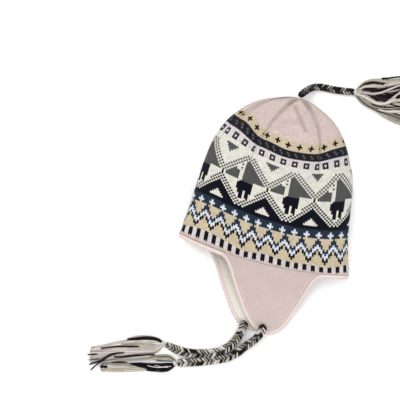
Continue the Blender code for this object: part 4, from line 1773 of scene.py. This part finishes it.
@dataclass
class Tassel:
    """A bundle of cut strands, tied to the end of a cord."""

    name: str
    node: str
    neck: tuple
    heading: tuple
    shape: TasselShape
    layers: int = 4
    lane: float = 0.0016
    top: float = 0.0056
    loft: float = 0.0013
    stations: int = 20
    radius: float = 0.00085
    side_inset: float = 0.04
    top_inset: float = 0.10
    stray: float = 0.035
    wander: float = 0.012
    uneven_cut: float = 0.02
    waviness: float = 0.0003
    lock_start: float = 0.01
    lock_end: float = 0.03
    own_yarn: float = 0.82
    dyeing: float = 0.10
    strand_sides: int = 5
    neck_radius: float = 0.0031
    neck_way: float = 0.022
    neck_level: float = 0.009
    lock_yarn: float = 0.00115
    binding_turns: int = 4
    binding_pitch: float = 0.0009
    binding_radius: float = 0.00065
    floor_scale: float = 1.0073
    seed: int = 1

    def on_floor(self, points: tuple) -> np.ndarray:
        """Points of a way seen from above, in metres where the yarn lies."""
        middle = np.array(Studio.middle)
        return middle + (np.array(points, float) / 1000 - middle) * self.floor_scale

    def follow(self, points: np.ndarray, shares: np.ndarray) -> np.ndarray:
        """Places on a smooth way through points, at shares of its length."""
        return smooth_line(points, shares * ways_along(points)[-1])

    def ground(self, chance: np.random.Generator) -> list:
        """The strands between the tassel's two sides.

        Args:
            chance: where its small differences come from.

        Returns:
            Path, radii and colour of each strand.
        """
        shares = np.linspace(0, 1, self.stations) ** 1.2
        upper = self.follow(self.on_floor(self.shape.upper), shares)
        lower = self.follow(self.on_floor(self.shape.lower), shares)
        widest = np.linalg.norm(upper - lower, axis=1).max()
        lanes = round(widest / self.lane)
        result = []
        for layer in range(self.layers):
            level = layer / (self.layers - 1)
            for lane in range(lanes):
                inset = self.side_inset + self.top_inset * level**2
                across = inset + (1 - 2 * inset) * (lane + chance.uniform(0.15, 0.85)) / lanes
                drift = across + chance.normal(0, self.stray) * shares
                drift += self.wander * np.sin(2 * math.pi * (shares * 1.3 + chance.uniform()))
                drift = np.clip(drift, 0.03, 0.97)[:, None]
                flat = upper * (1 - drift) + lower * drift
                cut = 1 - abs(chance.normal(0, self.uneven_cut)) - self.uneven_cut * level
                flat = self.follow(flat, np.linspace(0, cut, self.stations) ** 1.1)
                edge = 1 - np.abs(2 * drift[:, 0] - 1) ** 3
                rise = self.radius * 1.05 + self.top * level * (0.35 + 0.65 * edge)
                yarn = self.shape.ground[int(chance.integers(len(self.shape.ground)))]
                result.append((flat, rise, yarn, 1.0))
        return result

    def lock(self, lock: Lock, chance: np.random.Generator) -> list:
        """The strands of one lock on top.

        Args:
            lock: the lock.
            chance: where its small differences come from.

        Returns:
            As ground does.
        """
        count = max(1, round(lock.width / 1000 / self.lock_yarn))
        shares = np.linspace(0, 1, self.stations)
        result = []
        for number in range(count):
            start = abs(chance.normal(0, self.lock_start))
            end = 1 - abs(chance.normal(0, self.lock_end))
            flat = self.follow(self.on_floor(lock.way), start + (end - start) * shares)
            along = unit(np.gradient(flat, axis=0))
            side = np.stack([-along[:, 1], along[:, 0]], axis=1)
            place = (number + 0.5) / count - 0.5
            pinch = np.clip(0.45 + shares / 0.14, 0, 1) * (1 - 0.35 * shares**4)
            flat = flat + side * (place * lock.width / 1000 * pinch)[:, None]
            wave = np.sin(2 * math.pi * (shares * chance.uniform(0.8, 1.8) + chance.uniform()))
            flat += side * (self.waviness * wave)[:, None]
            dome = 1 - 0.25 * (2 * place) ** 2
            rise = (lock.rise / 1000 + self.loft) * dome - 0.0008 * chance.uniform()
            yarn = lock.yarn if chance.uniform() < self.own_yarn else lock.accent
            result.append((flat, rise, yarn, min(1.0, 0.7 + 0.3 * lock.width / 3)))
        return result

    def build(self, material: bpy.types.Material) -> bpy.types.Object:
        """Cuts and ties the tassel.

        Args:
            material: its wool.

        Returns:
            The piece.
        """
        chance = np.random.default_rng(SEED + self.seed)
        neck = np.array(self.neck)
        strands = self.ground(chance)
        for lock in self.shape.locks:
            strands += self.lock(lock, chance)
        paths = []
        radii = []
        colours = []
        t = np.linspace(0, 1, self.stations)
        for flat, rise, yarn, share in strands:
            near = np.clip(np.linalg.norm(flat - neck[:2], axis=1) / self.neck_way, 0, 1)
            ease = near * near * (3 - 2 * near)
            level = np.clip((rise - self.radius) / self.neck_level, 0, 1)
            start = neck[2] + self.neck_radius * 0.75 * (2 * level - 1)
            path = np.column_stack([flat, start * (1 - ease) + rise * ease])
            path[:, 2] = np.maximum(path[:, 2], self.radius * 1.05)
            paths.append(path)
            radii.append(self.radius * share * chance.uniform(0.9, 1.15) * (1 - 0.25 * t**6))
            colours.append(np.clip(yarn.linear() * chance.normal(1.0, self.dyeing), 0, 1))
        heading = unit(np.array([*self.heading, 0.0]))
        side = np.array([-heading[1], heading[0], 0.0])
        angle = np.linspace(0, 2 * math.pi, 22)
        for turn in range(self.binding_turns):
            path = neck + heading * (self.binding_pitch * (turn - 1))
            path = path + side * (self.neck_radius * np.cos(angle))[:, None]
            path += np.array([0, 0, 1.0]) * (self.neck_radius * np.sin(angle))[:, None]
            path[:, 2] = np.maximum(path[:, 2], 0.0008)
            paths.append(path)
            radii.append(np.full(len(path), self.binding_radius))
            colours.append(Yarn.CREAM.linear())
        piece = strands_mesh(self.name, paths, radii, colours, self.strand_sides)
        finish_piece(piece, material)
        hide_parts(self.node)
        return piece


@dataclass
class Studio:
    """The camera, the pale floor and the soft light."""

    middle: tuple = (-0.1113, -0.0247)
    field: float = 0.600
    lens: float = 85.0
    sensor: float = 36.0
    turn: float = 14.0
    sharp_height: float = 0.015
    floor_tone: float = 0.93
    sky: float = 0.80

    def build(self) -> None:
        """Sets the camera and the light."""
        camera_data = bpy.data.cameras.new("camera")
        camera_data.lens = self.lens
        camera_data.sensor_width = self.sensor
        camera = bpy.data.objects.new("camera", camera_data)
        camera.location = (*self.middle, self.field * self.lens / self.sensor + self.sharp_height)
        camera.rotation_euler = (0, 0, math.radians(self.turn))
        bpy.context.scene.collection.objects.link(camera)
        bpy.context.scene.camera = camera
        self.floor()
        self.light("key", (-0.9, 0.7, 1.6), 1.6, 26.0)
        self.light("fill", (1.1, -0.6, 1.4), 1.8, 14.0)
        world = bpy.data.worlds.new("world")
        world.use_nodes = True
        sky = world.node_tree.nodes["Background"]
        sky.inputs["Color"].default_value = (1.0, 1.0, 1.0, 1.0)
        sky.inputs["Strength"].default_value = self.sky
        bpy.context.scene.world = world
        bpy.context.scene.view_settings.view_transform = "Standard"
        LOG.info("studio ready")

    def floor(self) -> None:
        """A wide pale floor."""
        deselect()
        bpy.ops.mesh.primitive_plane_add(size=6.0, location=(0, 0, 0))
        floor = bpy.context.object
        floor.name = "floor"
        material = bpy.data.materials.new("pale floor")
        material.use_nodes = True
        shader = material.node_tree.nodes["Principled BSDF"]
        shader.inputs["Base Color"].default_value = (self.floor_tone, self.floor_tone, self.floor_tone, 1.0)
        shader.inputs["Roughness"].default_value = 0.9
        floor.data.materials.append(material)

    def light(self, name: str, place: tuple, size: float, power: float) -> None:
        """A soft square light that faces the hat.

        Args:
            name: its name.
            place: where it hangs.
            size: its side in metres.
            power: in watts.
        """
        data = bpy.data.lights.new(name, "AREA")
        data.size = size
        data.energy = power
        lamp = bpy.data.objects.new(name, data)
        lamp.location = place
        toward = unit(-np.array(place))
        yaw = math.atan2(-toward[0], toward[1])
        lamp.rotation_euler = (math.acos(-toward[2]), 0, yaw)
        bpy.context.scene.collection.objects.link(lamp)


def main() -> None:
    """Builds the hat piece by piece and dresses it."""
    logging.basicConfig(level=logging.INFO, format="%(name)s %(message)s")
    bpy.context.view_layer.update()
    form = HatForm()
    stitches = stitch_group()
    wool = wool_group()
    # the body's colour is darkened as painted shade at its creases and darts
    knit = WoolFinish("stranded knit", fold_shade_and_relief=-0.20).build(stitches, wool)
    flap_knit = WoolFinish("plain knit", slant=0.9).build(stitches, wool)
    crochet = WoolFinish("crochet", stitch_depth=0.0006, groove=0.25).build(stitches, wool)
    yarn = WoolFinish("plaited yarn", stitch_depth=0.0003, twist=420.0, groove=0.35).build(stitches, wool)
    strand = WoolFinish("cut yarn", stitch_depth=0.0003, twist=300.0, groove=0.3).build(stitches, wool)
    fleece = FleeceFinish().build(wool)
    Studio().build()
    tie_tones = (Yarn.BLACK, Yarn.BLACK, Yarn.CHARCOAL, Yarn.GREY)
    tie_tones += (Yarn.OAT, Yarn.CREAM, Yarn.ASH, Yarn.OLIVE)
    cord_tones = (Yarn.BLACK, Yarn.BLACK, Yarn.CHARCOAL, Yarn.BLACK)
    cord_tones += (Yarn.GREY, Yarn.ASH, Yarn.OAT, Yarn.CHARCOAL)
    plaits = (
        Plait("near_plait", NEAR_TIE_ROUTE, "near_tie", tones=tie_tones, seed=21),
        Plait(
            "far_plait",
            FAR_TIE_ROUTE,
            "far_tie",
            width=0.0130,
            end_share=0.62,
            end_way=0.016,
            tones=tie_tones,
            seed=22,
        ),
        Plait(
            "crown_plait",
            TOP_CORD_ROUTE,
            "top_cord",
            width=0.0108,
            thickness=0.0080,
            pitch=0.0200,
            tones=cord_tones,
            seed=23,
        ),
    )
    tassels = (
        Tassel(
            "near_tassel_yarn",
            "near_tassel",
            (-0.0885, -0.2728, 0.0047),
            (-0.957, -0.292),
            NEAR_TASSEL,
            seed=3,
        ),
        Tassel(
            "far_tassel_yarn",
            "far_tassel",
            (-0.1130, -0.2475, 0.0047),
            (-0.969, 0.244),
            FAR_TASSEL,
            seed=4,
        ),
        Tassel(
            "top_tassel_yarn",
            "top_tassel",
            (0.0765, 0.1897, 0.0047),
            (0.990, 0.140),
            TOP_TASSEL,
            layers=3,
            lane=0.0020,
            seed=5,
        ),
    )
    for plait, tassel in zip(plaits, tassels):
        cord_piece = plait.build(yarn)
        tassel_piece = tassel.build(strand)
        plait.declare(cord_piece, tassel_piece)
    KnitBody(form, StitchChart()).build(knit)
    BodyLining(form).build(fleece)
    EarFlap(form, True).build(flap_knit, fleece)
    EarFlap(form, False).build(flap_knit, fleece)
    CrochetEdging(form).build(crochet)


if __name__ == "__main__":
    main()
